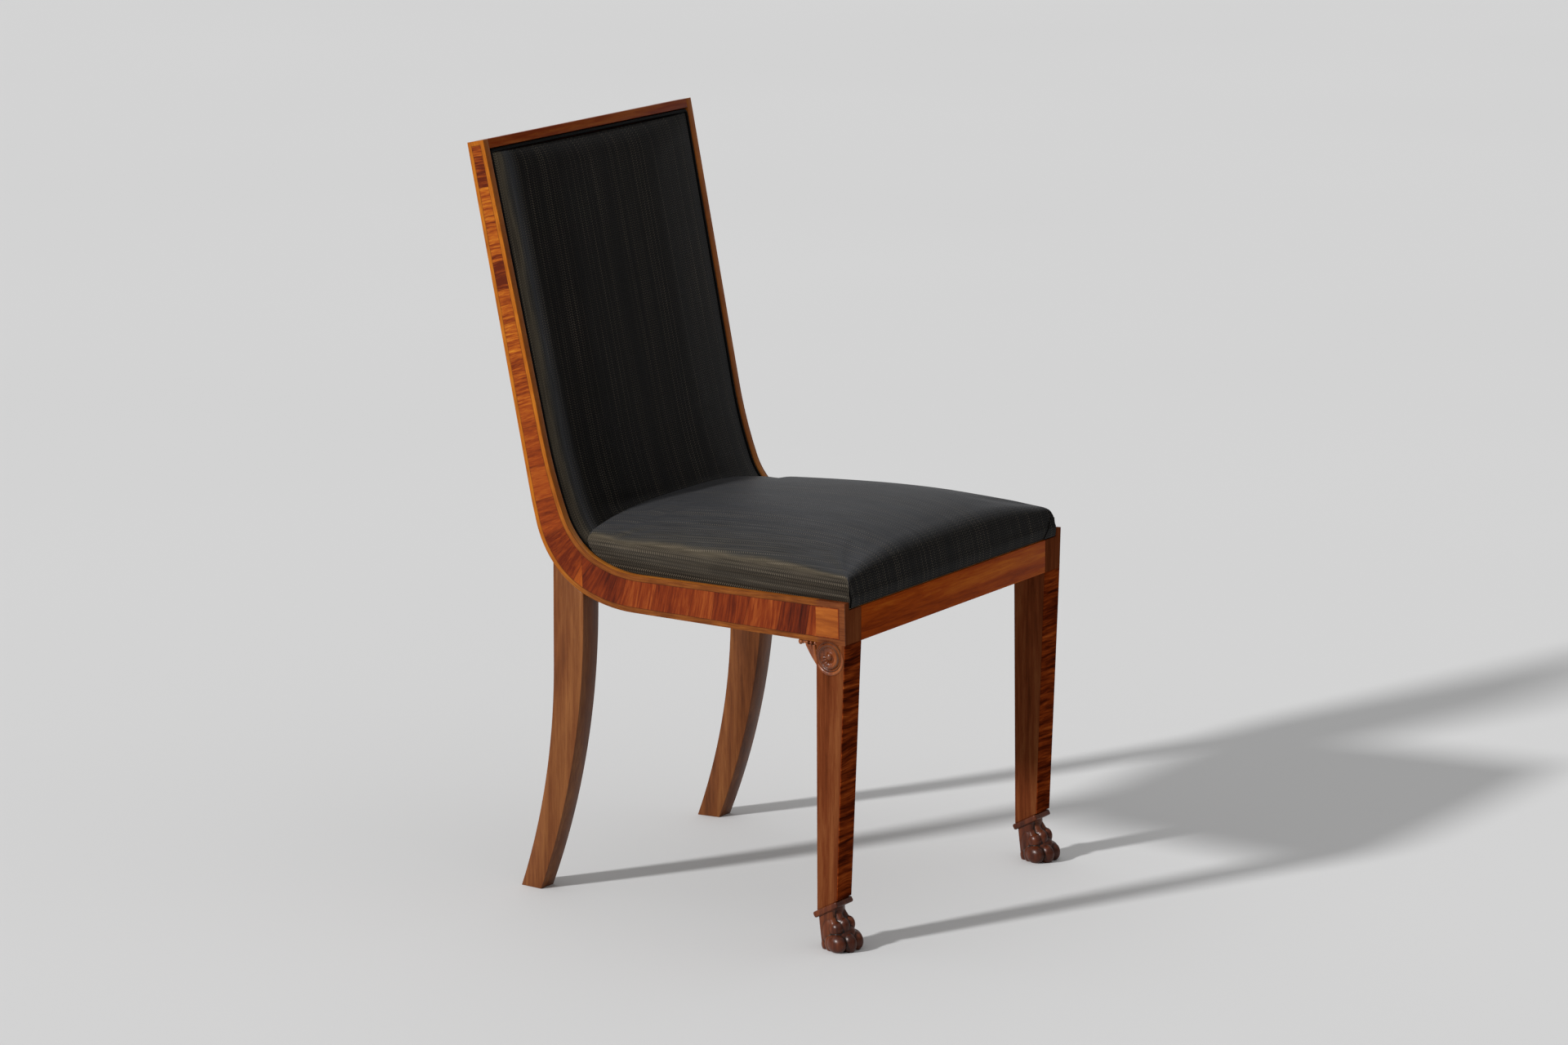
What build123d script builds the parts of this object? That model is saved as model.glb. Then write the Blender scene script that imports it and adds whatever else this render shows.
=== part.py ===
from build123d import *
from math import cos, hypot, radians, sin, tan
import os

# Side chair with J-shaped side frames, sabre rear legs, paw feet, a lift-out seat and a padded back.
# Millimetres, +Z up. The sitter faces -Y, the origin is on the floor under the middle of the chair,
# left is -X and right is +X. The right side is modelled and mirrored to make the left side.

# Overall sizes
HEIGHT = 900.0
FRONT_WIDTH = 495.0
FRONT_Y = -263.0
BACK_TOP_Y = 252.0
FAR = 2000.0

# Side frames
FRAME_SPLAY = 5.27
FRAME_LEAN = 2.38
FRAME_THICK = 23.0
LIP = 10.0
REBATE = 9.5
UPRIGHT_TOP_DEPTH = 24.7
RAIL_TOP_Z = 412.5
RAIL_DEPTH = 49.5
RAIL_TOP_SLOPE = 1.72
RAIL_BOTTOM_SLOPE = 0.87
BACK_RAKE = 12.3
BACK_REAR_RAKE = 10.8
INNER_UPPER_RADIUS = 555.0
INNER_MAIN_RADIUS = 87.0
INNER_LOWER_RADIUS = 160.0
INNER_SHARES = (0.12, 0.60, 0.28)
OUTER_UPPER_RADIUS = 578.0
OUTER_MAIN_RADIUS = 113.0
OUTER_LOWER_RADIUS = 203.0
OUTER_SHARES = (0.05, 0.70, 0.25)

# Veneers
VENEER = 1.0
STRINGING = 7.5
FRONT_BORDER = 9.5

# Front legs, collars and paws
LEG_DEPTH = 41.0
LEG_WIDTH = 35.0
ANKLE_DEPTH = 26.7
ANKLE_WIDTH = 29.7
ANKLE_SETBACK = 10.8
ANKLE_Z = 45.0
COLLAR_TILT = 29.0
COLLAR_THICK = 7.4
COLLAR_PROUD = 3.0
COLLAR_EDGE = 2.4
PAW_LENGTH = 40.0
PAW_WIDTH = 52.0
HEEL_WIDTH = 33.0
HEEL_HEIGHT = 34.0
TOE_COUNT = 3
TOE_OVERHANG = 13.0
KNUCKLE_Z = 30.0
KNUCKLE_SETBACK = 6.0
TOE_FLAT = 0.5
TOE_BOW = 2.9
TOE_WAIST = 0.8
KNUCKLE_PITCH = 14.7

# Scroll brackets
WING_THICK = 14.0
WING_REACH = 25.0
WING_DROP = 35.0
WING_HOLLOW = 2.5
VOLUTE_RADIUS = 4.2
ROSETTE_RADIUS = 18.0
ROSETTE_PROUD = 3.0
ROSETTE_RIM = 3.6
ROSETTE_DISH = 2.0
BUTTON_RADIUS = 4.5

# Rear legs
REAR_LEG_DEPTH = 45.5
REAR_LEG_TOP_WIDTH = 33.0
REAR_LEG_FOOT_WIDTH = 26.0
REAR_LEG_SPREAD = 0.44
LEG_JOINT_HEADING = 214.3
SABRE_FRONT_RADIUS = 900.0
SABRE_FRONT_START = 340.0
SABRE_REAR_RADIUS = 790.0
SABRE_REAR_START = 280.0

# Rails
RAIL_THICK = 22.0
REAR_RAIL_DEPTH = 28.0
REAR_RAIL_GAP = 5.0
CREST_LIP = 11.0
CREST_DEPTH = 52.0
BACK_RAIL_THICK = 17.0
BACK_RAIL_DEPTH = 34.0
BACK_RAIL_HEADING = 228.0

# Corner blocks and screws
BLOCK_REACH = 80.0
BLOCK_DROP = 4.0
BLOCK_DEPTH = 26.0
SCREW_RADIUS = 2.2
SCREW_HEAD_RADIUS = 4.2
SCREW_HEAD = 2.6
SCREW_LENGTH = 34.0
SCREW_BITE = 14.0
SCREW_SPACING = 13.0
SCREW_INSET = 44.0

# Dowels and pegs
DOWEL_RADIUS = 4.0
DOWEL_LENGTH = 28.0
DOWEL_SPACING = 16.0
DOWEL_CLEARANCE = 0.1
PAW_PEG_RADIUS = 5.0
PAW_PEG_LENGTH = 60.0
SEAT_PEG_RADIUS = 4.0
SEAT_PEG_RISE = 9.0
SEAT_PEG_DEPTH = 18.0
SEAT_PEG_SPACING = 240.0
SEAT_PEG_CLEARANCE = 0.5

# Lift-out seat
SEAT_GAP = 0.3
SEAT_CLEARANCE = 1.0
SEAT_FRONT_INSET = 1.0
SEAT_RAIL_THICK = 18.0
SEAT_RAIL_WIDTH = 58.0
SEAT_REAR_RAIL_WIDTH = 54.0
SEAT_REAR_EASE = 4.0
SEAT_BACK_GAP = 2.0
COVER_THICK = 1.5
COVER_EASE = 0.2
SEAT_REACH = 400.0
SEAT_RIDGE = 35.0
SEAT_CROWN = 68.0
STATION_SHARES = (0.0, 0.15, 0.42, 0.72, 1.0)
RIDGE_SHARES = (0.86, 0.94, 1.0, 1.06, 1.26)
CROWN_SHARES = (0.69, 0.88, 1.0, 0.96, 0.82)
SEAT_CORNER = 9.0
SEAT_NOSE_RISE = 26.0
SEAT_NOSE_REACH = 26.0
WEBBING_THICK = 1.6
WEBBING_WIDTH = 50.0
SEAT_STRAPS_LONG = 4
SEAT_STRAPS_CROSS = 3
STRAP_INSET = 8.0
HESSIAN_THICK = 0.8
DUST_THICK = 0.6
DUST_EASE = 3.0
TACK_RADIUS = 3.0
TACK_THICK = 1.0
TACK_SHANK = 0.8
TACK_LENGTH = 4.6
TACKS_PER_SIDE = 6
TACK_INSET = 5.0

# Padded back
PAD_CROWN = 12.0
PAD_EDGE = -1.0
PAD_STATIONS = (1.0, 0.93, 0.78, 0.45, 0.0)
PAD_SHOULDER = 34.0
PAD_SHOULDER_BULGE = 5.0
PAD_STOP_HEADING = 214.0
BACK_STRAPS_UP = 4
BACK_STRAPS_CROSS = 5
STRAP_DROP = 24.0
STRAP_PITCH = 71.0
STRAP_STOP_HEADING = 218.0
WELT_RADIUS = 2.4
WELT_CORNER = 3.2
WELT_CLEARANCE = 0.3
PANEL_INSET = 4.0
PANEL_THICK = 3.0
PANEL_STOP_HEADING = 191.0

SPLAY = tan(radians(FRAME_SPLAY))
LEAN = tan(radians(FRAME_LEAN))
RAIL_BOTTOM_Z = RAIL_TOP_Z - RAIL_DEPTH
LEG_BACK_Y = FRONT_Y + LEG_DEPTH


def toward(angle):
    """Unit vector for a heading in the side view, in degrees from the rear towards up."""
    return Vector(cos(radians(angle)), sin(radians(angle)))


def left_of(angle):
    """Unit vector square to a heading, on its left hand."""
    return toward(angle + 90.0)


def in_side_view(point):
    """Side-view point as a point of the chair's middle plane."""
    return Vector(0, point.X, point.Y)


class Run:
    """Long edge of a side frame: down the upright, round the bend of tangent arcs, along the rail."""

    def __init__(self, top, rake, front, slope, bend):
        self.top = top
        self.front = front
        self.down = 270.0 - rake
        self.ahead = 180.0 - slope
        self.bend = bend

    def layout(self, shift):
        """Line starts and arcs of the run moved sideways by a shift, to its left when positive."""
        turn = self.down - self.ahead
        reach = Vector(0, 0)
        arcs = []
        heading = self.down
        for radius, share in self.bend:
            after = heading - turn * share
            arcs.append((radius + shift, heading, after))
            reach += (left_of(after) - left_of(heading)) * (radius + shift)
            heading = after
        begin = self.top + left_of(self.down) * shift
        finish = self.front + left_of(self.ahead) * shift
        gap = finish - begin - reach
        first, last = toward(self.down), toward(self.ahead)
        travel = (gap.X * last.Y - gap.Y * last.X) / (first.X * last.Y - first.Y * last.X)
        return begin, begin + first * travel, arcs, finish

    def pieces(self, shift, drop=0.0, stop=0.0):
        """Lines and arcs as point tuples, from a drop below the top to a stop heading or the front."""
        begin, corner, arcs, finish = self.layout(shift)
        found = [(begin + toward(self.down) * drop, corner)]
        for radius, heading, after in arcs:
            if heading <= stop:
                break
            after = max(after, stop)
            middle = corner + (left_of((heading + after) / 2) - left_of(heading)) * radius
            end = corner + (left_of(after) - left_of(heading)) * radius
            found.append((corner, middle, end))
            corner = end
        if stop < self.ahead:
            found.append((corner, finish))
        return found

    def point(self, shift, heading):
        """Point of the shifted run where it has a heading within the bend."""
        return self.pieces(shift, 0.0, heading)[-1][-1]


BACK_TOP = Vector(BACK_TOP_Y, HEIGHT)
BACK_TOP_REAR = BACK_TOP + left_of(270.0 - BACK_RAKE) * UPRIGHT_TOP_DEPTH
inner_radii = (INNER_UPPER_RADIUS, INNER_MAIN_RADIUS, INNER_LOWER_RADIUS)
outer_radii = (OUTER_UPPER_RADIUS, OUTER_MAIN_RADIUS, OUTER_LOWER_RADIUS)
inner_bend = list(zip(inner_radii, INNER_SHARES))
outer_bend = list(zip(outer_radii, OUTER_SHARES))
INNER = Run(BACK_TOP, BACK_RAKE, Vector(FRONT_Y, RAIL_TOP_Z), RAIL_TOP_SLOPE, inner_bend)
OUTER = Run(BACK_TOP_REAR, BACK_REAR_RAKE, Vector(FRONT_Y, RAIL_BOTTOM_Z), RAIL_BOTTOM_SLOPE, outer_bend)


def draw(pieces, lift=in_side_view):
    """Edges for a list of point tuples, lines for pairs and arcs for triples."""
    edges = []
    for points in pieces:
        lifted = [lift(point) for point in points]
        edges.append(Line(*lifted) if len(lifted) == 2 else ThreePointArc(*lifted))
    return edges


def band(first, first_shift, second, second_shift, drop=0.0, stop=0.0, lift=in_side_view):
    """Face between two shifted runs, closed by lines at both ends."""
    one = first.pieces(first_shift, drop, stop)
    two = second.pieces(second_shift, drop, stop)
    ends = [(one[0][0], two[0][0]), (one[-1][-1], two[-1][-1])]
    return make_face(draw(one + two + ends, lift))


def polygon(*points):
    """Side-view face through corner points."""
    corners = [in_side_view(Vector(*point)) for point in points]
    return make_face(Polyline(*corners, close=True))


def across(face, low=-FAR, high=FAR):
    """Solid of a side-view face stretched across the chair."""
    return extrude(Pos(low, 0, 0) * face, amount=high - low, dir=(1, 0, 0))


def both(part):
    """Part and its mirror image on the other side."""
    return [part, mirror(part, about=Plane.YZ)]


def side_plane(depth):
    """Plane of the right side frame at a depth under its outer face."""
    outward = Vector(1, SPLAY, -LEAN).normalized()
    corner = Vector(FRONT_WIDTH / 2, FRONT_Y, RAIL_TOP_Z)
    return Plane(origin=corner - outward * depth, z_dir=outward)


def under(plane):
    """Block that fills the back of a plane."""
    return plane * Pos(0, 0, -FAR / 2) * Box(2 * FAR, 2 * FAR, FAR)


def layer(near, far):
    """Slab of the right side frame between two depths."""
    return side_plane((near + far) / 2) * Box(2 * FAR, 2 * FAR, far - near)


def between_sides(depth):
    """Space between the two side frames at a depth under their outer faces."""
    half = under(side_plane(depth))
    return half & mirror(half, about=Plane.YZ)


def rearward(y):
    """Block behind a plane square to the chair's depth."""
    return Pos(0, y + FAR / 2, 0) * Box(2 * FAR, FAR, 2 * FAR)


def side_x(depth, y, z):
    """Half width at a depth under the side frames' outer faces."""
    slant = hypot(1.0, SPLAY, LEAN)
    return FRONT_WIDTH / 2 - SPLAY * (y - FRONT_Y) + LEAN * (z - RAIL_TOP_Z) - depth * slant


def rod(radius, length, centre, direction):
    """Round rod with its middle at a point."""
    return Plane(origin=centre, z_dir=direction) * Cylinder(radius, length)


def group(solids):
    """Separate solids of one node."""
    return Compound(children=[solid for item in solids for solid in item.solids()])


class Joinery:
    """Dowels of one kind, and the holes that they need."""

    def __init__(self, radius, length):
        self.radius = radius
        self.length = length
        self.pins = []
        self.holes = []

    def add(self, centre, direction):
        """Put a dowel with its middle at a point of the right half, and its twin on the left."""
        grown = self.length + 2 * DOWEL_CLEARANCE
        self.pins += both(rod(self.radius, self.length, centre, direction))
        self.holes += both(rod(self.radius + DOWEL_CLEARANCE, grown, centre, direction))

    def drill(self, part):
        """Part with the holes cut that reach it."""
        return part - self.holes


# Side frames with the rebate that holds the seat and the back
BODY = band(INNER, 0, OUTER, 0)
REBATED = band(INNER, REBATE, OUTER, 0)
frame_lip = across(BODY, 0) & layer(VENEER, LIP)
frame_core = across(REBATED, 0) & layer(LIP, FRAME_THICK)
side_frame = (frame_lip + frame_core) & rearward(LEG_BACK_Y)

# Veneers on the outer faces of the side frames
skin = across(BODY, 0) & layer(0, VENEER) & rearward(FRONT_Y)
field = across(band(INNER, STRINGING, OUTER, -STRINGING), 0) & layer(0, VENEER)
top_plane = Plane(
    origin=in_side_view(BACK_TOP + toward(INNER.down) * STRINGING),
    z_dir=-in_side_view(toward(INNER.down)),
)
field = field & under(top_plane) & rearward(FRONT_Y + FRONT_BORDER)
crossband = field & rearward(LEG_BACK_Y)
corner_panel = field - rearward(LEG_BACK_Y)
edge_stringing = skin - field

# Front legs: a block beside the rails, and a shaft that tapers to the ankle
LEG_X = side_x(0, FRONT_Y, RAIL_BOTTOM_Z)


def leg_section(z, setback, depth, width):
    """Plan section of a front leg, in line with the splayed side frame."""
    front = FRONT_Y + setback
    x = LEG_X - SPLAY * setback
    slant = SPLAY * depth
    corners = ((x, front), (x - slant, front + depth), (x - slant - width, front + depth), (x - width, front))
    return make_face(Polyline(*[Vector(cx, cy, z) for cx, cy in corners], close=True))


def collar_plane(rise):
    """Slanted plane at the ankle, a rise above the underside of the collar."""
    tilt = radians(COLLAR_TILT)
    normal = Vector(0, sin(tilt), cos(tilt))
    middle = Vector(LEG_X - ANKLE_WIDTH / 2, FRONT_Y + ANKLE_SETBACK + ANKLE_DEPTH / 2, ANKLE_Z)
    middle -= Vector(SPLAY * (ANKLE_SETBACK + ANKLE_DEPTH / 2), 0, 0)
    return Plane(origin=middle + normal * rise, x_dir=(1, 0, 0), z_dir=normal)


taper = ANKLE_SETBACK / (RAIL_BOTTOM_Z - ANKLE_Z)
front_face = Plane(origin=(0, FRONT_Y, RAIL_BOTTOM_Z), z_dir=(0, -1, -taper))
leg_inner = Plane(origin=(LEG_X - LEG_WIDTH, FRONT_Y, RAIL_BOTTOM_Z), z_dir=(-1, -SPLAY, 0))
leg_top = across(REBATED, 0) & under(side_plane(LIP)) & under(leg_inner)
leg_top += across(BODY, 0) & layer(VENEER, LIP)
leg_top = (leg_top & rearward(FRONT_Y)) - rearward(LEG_BACK_Y)
shaft = loft(
    [
        leg_section(RAIL_BOTTOM_Z, 0, LEG_DEPTH, LEG_WIDTH),
        leg_section(0, ANKLE_SETBACK + taper * ANKLE_Z, ANKLE_DEPTH, ANKLE_WIDTH),
    ],
    ruled=True,
)
shaft = shaft - under(collar_plane(COLLAR_THICK)) - across(BODY, 0)
shaft_core = under(front_face.offset(-VENEER))
front_leg_veneer = shaft - shaft_core
front_leg = leg_top + (shaft & shaft_core)

# Collars and carved paws at the ankles
collar_length = ANKLE_DEPTH / cos(radians(COLLAR_TILT)) + 2 * COLLAR_PROUD
collar_block = Box(ANKLE_WIDTH + 2 * COLLAR_PROUD, collar_length, COLLAR_THICK)
collar_block = fillet(collar_block.edges(), COLLAR_EDGE)
ankle_collar = collar_plane(COLLAR_THICK / 2) * collar_block

paw_x = collar_plane(0).origin.X
toe_front = FRONT_Y - TOE_OVERHANG
heel_y = toe_front + PAW_LENGTH
toe_radius = PAW_WIDTH / (2 * TOE_COUNT)


def paw_section(z, front, back, width):
    """Plan section of the paw's body."""
    centre = Vector(paw_x, (front + back) / 2, z)
    return Pos(centre) * RectangleRounded(width, back - front, min(width, back - front) / 4)


ankle_front = FRONT_Y + ANKLE_SETBACK
paw_body = loft(
    [
        paw_section(0, toe_front + toe_radius, heel_y, HEEL_WIDTH + toe_radius),
        paw_section(KNUCKLE_Z / 2, toe_front + toe_radius, heel_y, HEEL_WIDTH + toe_radius / 2),
        paw_section(HEEL_HEIGHT, ankle_front, ankle_front + ANKLE_DEPTH, ANKLE_WIDTH),
        paw_section(2 * HEEL_HEIGHT, ankle_front, ankle_front + ANKLE_DEPTH, ANKLE_WIDTH),
    ],
    ruled=True,
)
toes = []
for index in range(TOE_COUNT):
    side = index - (TOE_COUNT - 1) / 2
    bow = TOE_BOW * side * side
    tip = Vector(paw_x + 2 * toe_radius * side, toe_front + toe_radius + bow, toe_radius - TOE_FLAT)
    knuckle = Vector(paw_x + KNUCKLE_PITCH * side, tip.Y + KNUCKLE_SETBACK, KNUCKLE_Z)
    toes += [Pos(tip) * Sphere(toe_radius), Pos(knuckle) * Sphere(toe_radius)]
    toes.append(rod(TOE_WAIST * toe_radius, (knuckle - tip).length, (tip + knuckle) / 2, knuckle - tip))
paw_foot = (paw_body + toes) & under(collar_plane(0))
paw_foot = paw_foot & (Pos(0, 0, FAR / 2) * Box(2 * FAR, 2 * FAR, FAR))

# Scroll brackets behind the front legs, each with a dished rosette on the leg's side
wing_top = RAIL_BOTTOM_Z - tan(radians(RAIL_BOTTOM_SLOPE)) * LEG_DEPTH
tip_y = LEG_BACK_Y + WING_REACH
wing_foot = Vector(LEG_BACK_Y - WING_HOLLOW, wing_top - WING_DROP)
wing_tip = Vector(tip_y - VOLUTE_RADIUS, wing_top - 2 * VOLUTE_RADIUS)
wing_edge = wing_tip - wing_foot
wing_middle = wing_foot + wing_edge / 2 + wing_edge.rotate(Axis.Z, 90).normalized() * WING_HOLLOW
wing_face = make_face(
    draw(
        [
            (wing_foot, Vector(wing_foot.X, RAIL_BOTTOM_Z + VENEER)),
            (Vector(wing_foot.X, RAIL_BOTTOM_Z + VENEER), Vector(wing_tip.X, RAIL_BOTTOM_Z + VENEER)),
            (Vector(wing_tip.X, RAIL_BOTTOM_Z + VENEER), wing_tip),
            (wing_tip, wing_middle, wing_foot),
        ]
    )
)
volute_centre = Vector(0, tip_y - VOLUTE_RADIUS, wing_top - VOLUTE_RADIUS)
volute = across(make_face(Plane.YZ.shift_origin(volute_centre) * Circle(VOLUTE_RADIUS)), 0)
wing_inner = Plane(origin=(LEG_X - WING_THICK, FRONT_Y, 0), z_dir=(-1, -SPLAY, 0))
wing_outer = Plane(origin=(LEG_X, FRONT_Y, 0), z_dir=(1, SPLAY, 0))
scroll_bracket = (across(wing_face, 0) + volute) & under(wing_outer) & under(wing_inner)
scroll_bracket = scroll_bracket - across(BODY, 0) - front_leg - front_leg_veneer

rosette_z = wing_top - ROSETTE_RADIUS
rosette_y = LEG_BACK_Y - ROSETTE_RADIUS - VENEER
rosette_seat = Vector(LEG_X - SPLAY * (rosette_y - FRONT_Y), rosette_y, rosette_z)
rim = Pos(0, 0, ROSETTE_PROUD / 2) * Cylinder(ROSETTE_RADIUS, ROSETTE_PROUD)
dish_radius = ROSETTE_RADIUS - ROSETTE_RIM
dish_ball = (dish_radius**2 + ROSETTE_DISH**2) / (2 * ROSETTE_DISH)
dish = Pos(0, 0, ROSETTE_PROUD - ROSETTE_DISH + dish_ball) * Sphere(dish_ball)
button = Pos(0, 0, ROSETTE_PROUD / 2) * Cylinder(BUTTON_RADIUS, ROSETTE_PROUD)
rosette = fillet((rim - dish).edges().group_by(Axis.Z)[-1], ROSETTE_RIM / 4) + button
bracket_rosette = Plane(origin=rosette_seat, z_dir=(1, SPLAY, 0)) * rosette

# Sabre rear legs, scribed to the underside of the bend
rear_leg_front_y = OUTER.point(0, LEG_JOINT_HEADING).X - REAR_LEG_DEPTH / 2
rear_leg_rear_y = rear_leg_front_y + REAR_LEG_DEPTH


def sabre_edge(y, start, radius):
    """Vertical line and tangent arc of one edge of a rear leg, from the frame to the floor."""
    centre = Vector(y + radius, start)
    floor = Vector(centre.X - (radius**2 - start**2) ** 0.5, 0)
    middle = (Vector(y, start) + floor) / 2 - centre
    middle = centre + middle.normalized() * radius
    return [(Vector(y, RAIL_TOP_Z), Vector(y, start)), (Vector(y, start), middle, floor)]


leg_front = sabre_edge(rear_leg_front_y, SABRE_FRONT_START, SABRE_FRONT_RADIUS)
leg_rear = sabre_edge(rear_leg_rear_y, SABRE_REAR_START, SABRE_REAR_RADIUS)
leg_ends = [(leg_front[0][0], leg_rear[0][0]), (leg_front[1][2], leg_rear[1][2])]
rear_leg_face = make_face(draw(leg_front + leg_rear + leg_ends))
leg_mid = Vector((rear_leg_front_y + rear_leg_rear_y) / 2, RAIL_BOTTOM_Z + RAIL_DEPTH / 2)
leg_corner = Vector(side_x(0, leg_mid.X, leg_mid.Y), leg_mid.X, leg_mid.Y)
spread = tan(radians(REAR_LEG_SPREAD))
narrowing = (REAR_LEG_TOP_WIDTH - REAR_LEG_FOOT_WIDTH) / leg_mid.Y
rear_leg_outer = Plane(origin=leg_corner, z_dir=(1, SPLAY, spread))
rear_leg_inner = Plane(
    origin=leg_corner - Vector(REAR_LEG_TOP_WIDTH, 0, 0), z_dir=(-1, -SPLAY, -spread - narrowing)
)
rear_leg = across(rear_leg_face, 0) & under(rear_leg_outer) & under(rear_leg_inner)
rear_leg = rear_leg - across(BODY, 0)

# Rails between the side frames
ledge_front_z = RAIL_TOP_Z - REBATE / cos(radians(RAIL_TOP_SLOPE))
ledge_fall = tan(radians(RAIL_TOP_SLOPE))


def ledge_z(y):
    """Height of the ledge that carries the seat."""
    return ledge_front_z - ledge_fall * (y - FRONT_Y)


def rail_face(y, bottom):
    """Section of a seat rail whose top is in line with the ledge."""
    back = y + RAIL_THICK
    return polygon((y, bottom), (back, bottom), (back, ledge_z(back)), (y, ledge_z(y)))


sides = both(side_frame)
front_legs = both(front_leg)
rear_legs = both(rear_leg)
front_rail = across(rail_face(FRONT_Y, RAIL_BOTTOM_Z)) & between_sides(LIP)
front_rail = front_rail - front_legs - both(front_leg_veneer)
front_rail = front_rail.solids().sort_by(Axis.X)[len(front_rail.solids()) // 2]
panel_end_y = OUTER.point(-PANEL_INSET - PANEL_THICK, PANEL_STOP_HEADING).X
rear_rail_y = panel_end_y - REAR_RAIL_GAP - RAIL_THICK
rear_rail_bottom = ledge_z(rear_rail_y) - REAR_RAIL_DEPTH
rear_seat_rail = across(rail_face(rear_rail_y, rear_rail_bottom)) & between_sides(FRAME_THICK)

rake_down = toward(INNER.down)
rake_in = left_of(INNER.down)
rear_down = toward(OUTER.down)
crest_corners = [
    BACK_TOP,
    BACK_TOP + rake_down * CREST_LIP,
    BACK_TOP + rake_down * CREST_LIP + rake_in * REBATE,
    BACK_TOP + rake_down * CREST_DEPTH + rake_in * REBATE,
    BACK_TOP_REAR + rear_down * CREST_DEPTH,
    BACK_TOP_REAR,
]
crest_rail = across(polygon(*[(p.X, p.Y) for p in crest_corners])) & between_sides(LIP)
crest_rail = (crest_rail - sides).solids().sort_by(SortBy.VOLUME)[-1]

back_rail_face = INNER.point(REBATE, BACK_RAIL_HEADING)
back_rail_out = left_of(BACK_RAIL_HEADING)
back_rail_along = toward(BACK_RAIL_HEADING)
back_rail_corner = back_rail_face - back_rail_along * BACK_RAIL_DEPTH / 2
back_rail_section = [
    back_rail_corner,
    back_rail_corner + back_rail_along * BACK_RAIL_DEPTH,
    back_rail_corner + back_rail_along * BACK_RAIL_DEPTH + back_rail_out * BACK_RAIL_THICK,
    back_rail_corner + back_rail_out * BACK_RAIL_THICK,
]
lower_back_rail = across(polygon(*[(p.X, p.Y) for p in back_rail_section])) & between_sides(FRAME_THICK)
lower_back_rail = lower_back_rail & across(band(INNER, REBATE, OUTER, -PANEL_INSET - PANEL_THICK))


# Corner blocks in the four corners of the seat frame, and their screws
def corner_block(y, step, top):
    """Three-cornered block that stands on a seat rail's face and reaches along the side frame."""
    outer = side_x(LIP, y, top)
    corners = [(outer, y), (outer - BLOCK_REACH, y), (outer, y + step * BLOCK_REACH)]
    face = make_face(Polyline(*[Vector(cx, cy, top) for cx, cy in corners], close=True))
    return extrude(face, amount=BLOCK_DEPTH, dir=(0, 0, -1)) & between_sides(FRAME_THICK)


def wood_screw(head_at, direction):
    """Flat-headed screw and the hole that it stands in, with the head's way out."""
    axis = Plane(origin=head_at, z_dir=direction)
    head = Pos(0, 0, SCREW_HEAD / 2) * Cone(SCREW_HEAD_RADIUS, SCREW_RADIUS, SCREW_HEAD)
    shank = Pos(0, 0, SCREW_LENGTH / 2) * Cylinder(SCREW_RADIUS, SCREW_LENGTH)
    way_out = Pos(0, 0, -BLOCK_REACH / 2) * Cylinder(SCREW_HEAD_RADIUS, BLOCK_REACH)
    screw = head + shank
    return axis * screw, axis * (screw + way_out)


front_block_y = FRONT_Y + RAIL_THICK
front_block_top = ledge_z(front_block_y + BLOCK_REACH) - BLOCK_DROP
rear_block_top = ledge_z(rear_rail_y) - BLOCK_DROP
front_block = corner_block(front_block_y, 1, front_block_top)
front_block = (front_block - front_legs).solids().sort_by(SortBy.VOLUME)[-1]
rear_block = corner_block(rear_rail_y, -1, rear_block_top)

screws = []
screw_holes = []
for y, step, top in ((front_block_y, 1, front_block_top), (rear_rail_y, -1, rear_block_top)):
    for hand in (-0.5, 0.5):
        x = side_x(LIP, y, top) - SCREW_INSET
        z = top - BLOCK_DEPTH / 2 + hand * SCREW_SPACING
        head_at = Vector(x, y + step * (SCREW_LENGTH - SCREW_BITE), z)
        screw, hole = wood_screw(head_at, (0, -step, 0))
        screws += both(screw)
        screw_holes += both(hole)
front_block = front_block - screw_holes
rear_block = rear_block - screw_holes
front_rail = front_rail - screw_holes
rear_seat_rail = rear_seat_rail - screw_holes

# Dowels and pegs of the frame
frame_mid = (LIP + FRAME_THICK) / 2
front_dowels = Joinery(DOWEL_RADIUS, DOWEL_LENGTH)
side_dowels = Joinery(DOWEL_RADIUS, DOWEL_LENGTH)
rear_dowels = Joinery(DOWEL_RADIUS, DOWEL_LENGTH)
leg_dowels = Joinery(DOWEL_RADIUS, DOWEL_LENGTH)
back_dowels = Joinery(DOWEL_RADIUS, DOWEL_LENGTH)
crest_dowels = Joinery(DOWEL_RADIUS, DOWEL_LENGTH)
paw_pegs = Joinery(PAW_PEG_RADIUS, PAW_PEG_LENGTH)
crest_mid = BACK_TOP + rake_down * CREST_DEPTH / 2 + rake_in * (REBATE + UPRIGHT_TOP_DEPTH) / 2
back_mid = back_rail_face + back_rail_out * BACK_RAIL_THICK / 2
rear_mid = Vector(rear_rail_y + RAIL_THICK / 2, ledge_z(rear_rail_y) - REAR_RAIL_DEPTH / 2)
front_mid_z = (RAIL_BOTTOM_Z + ledge_front_z) / 2
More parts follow.
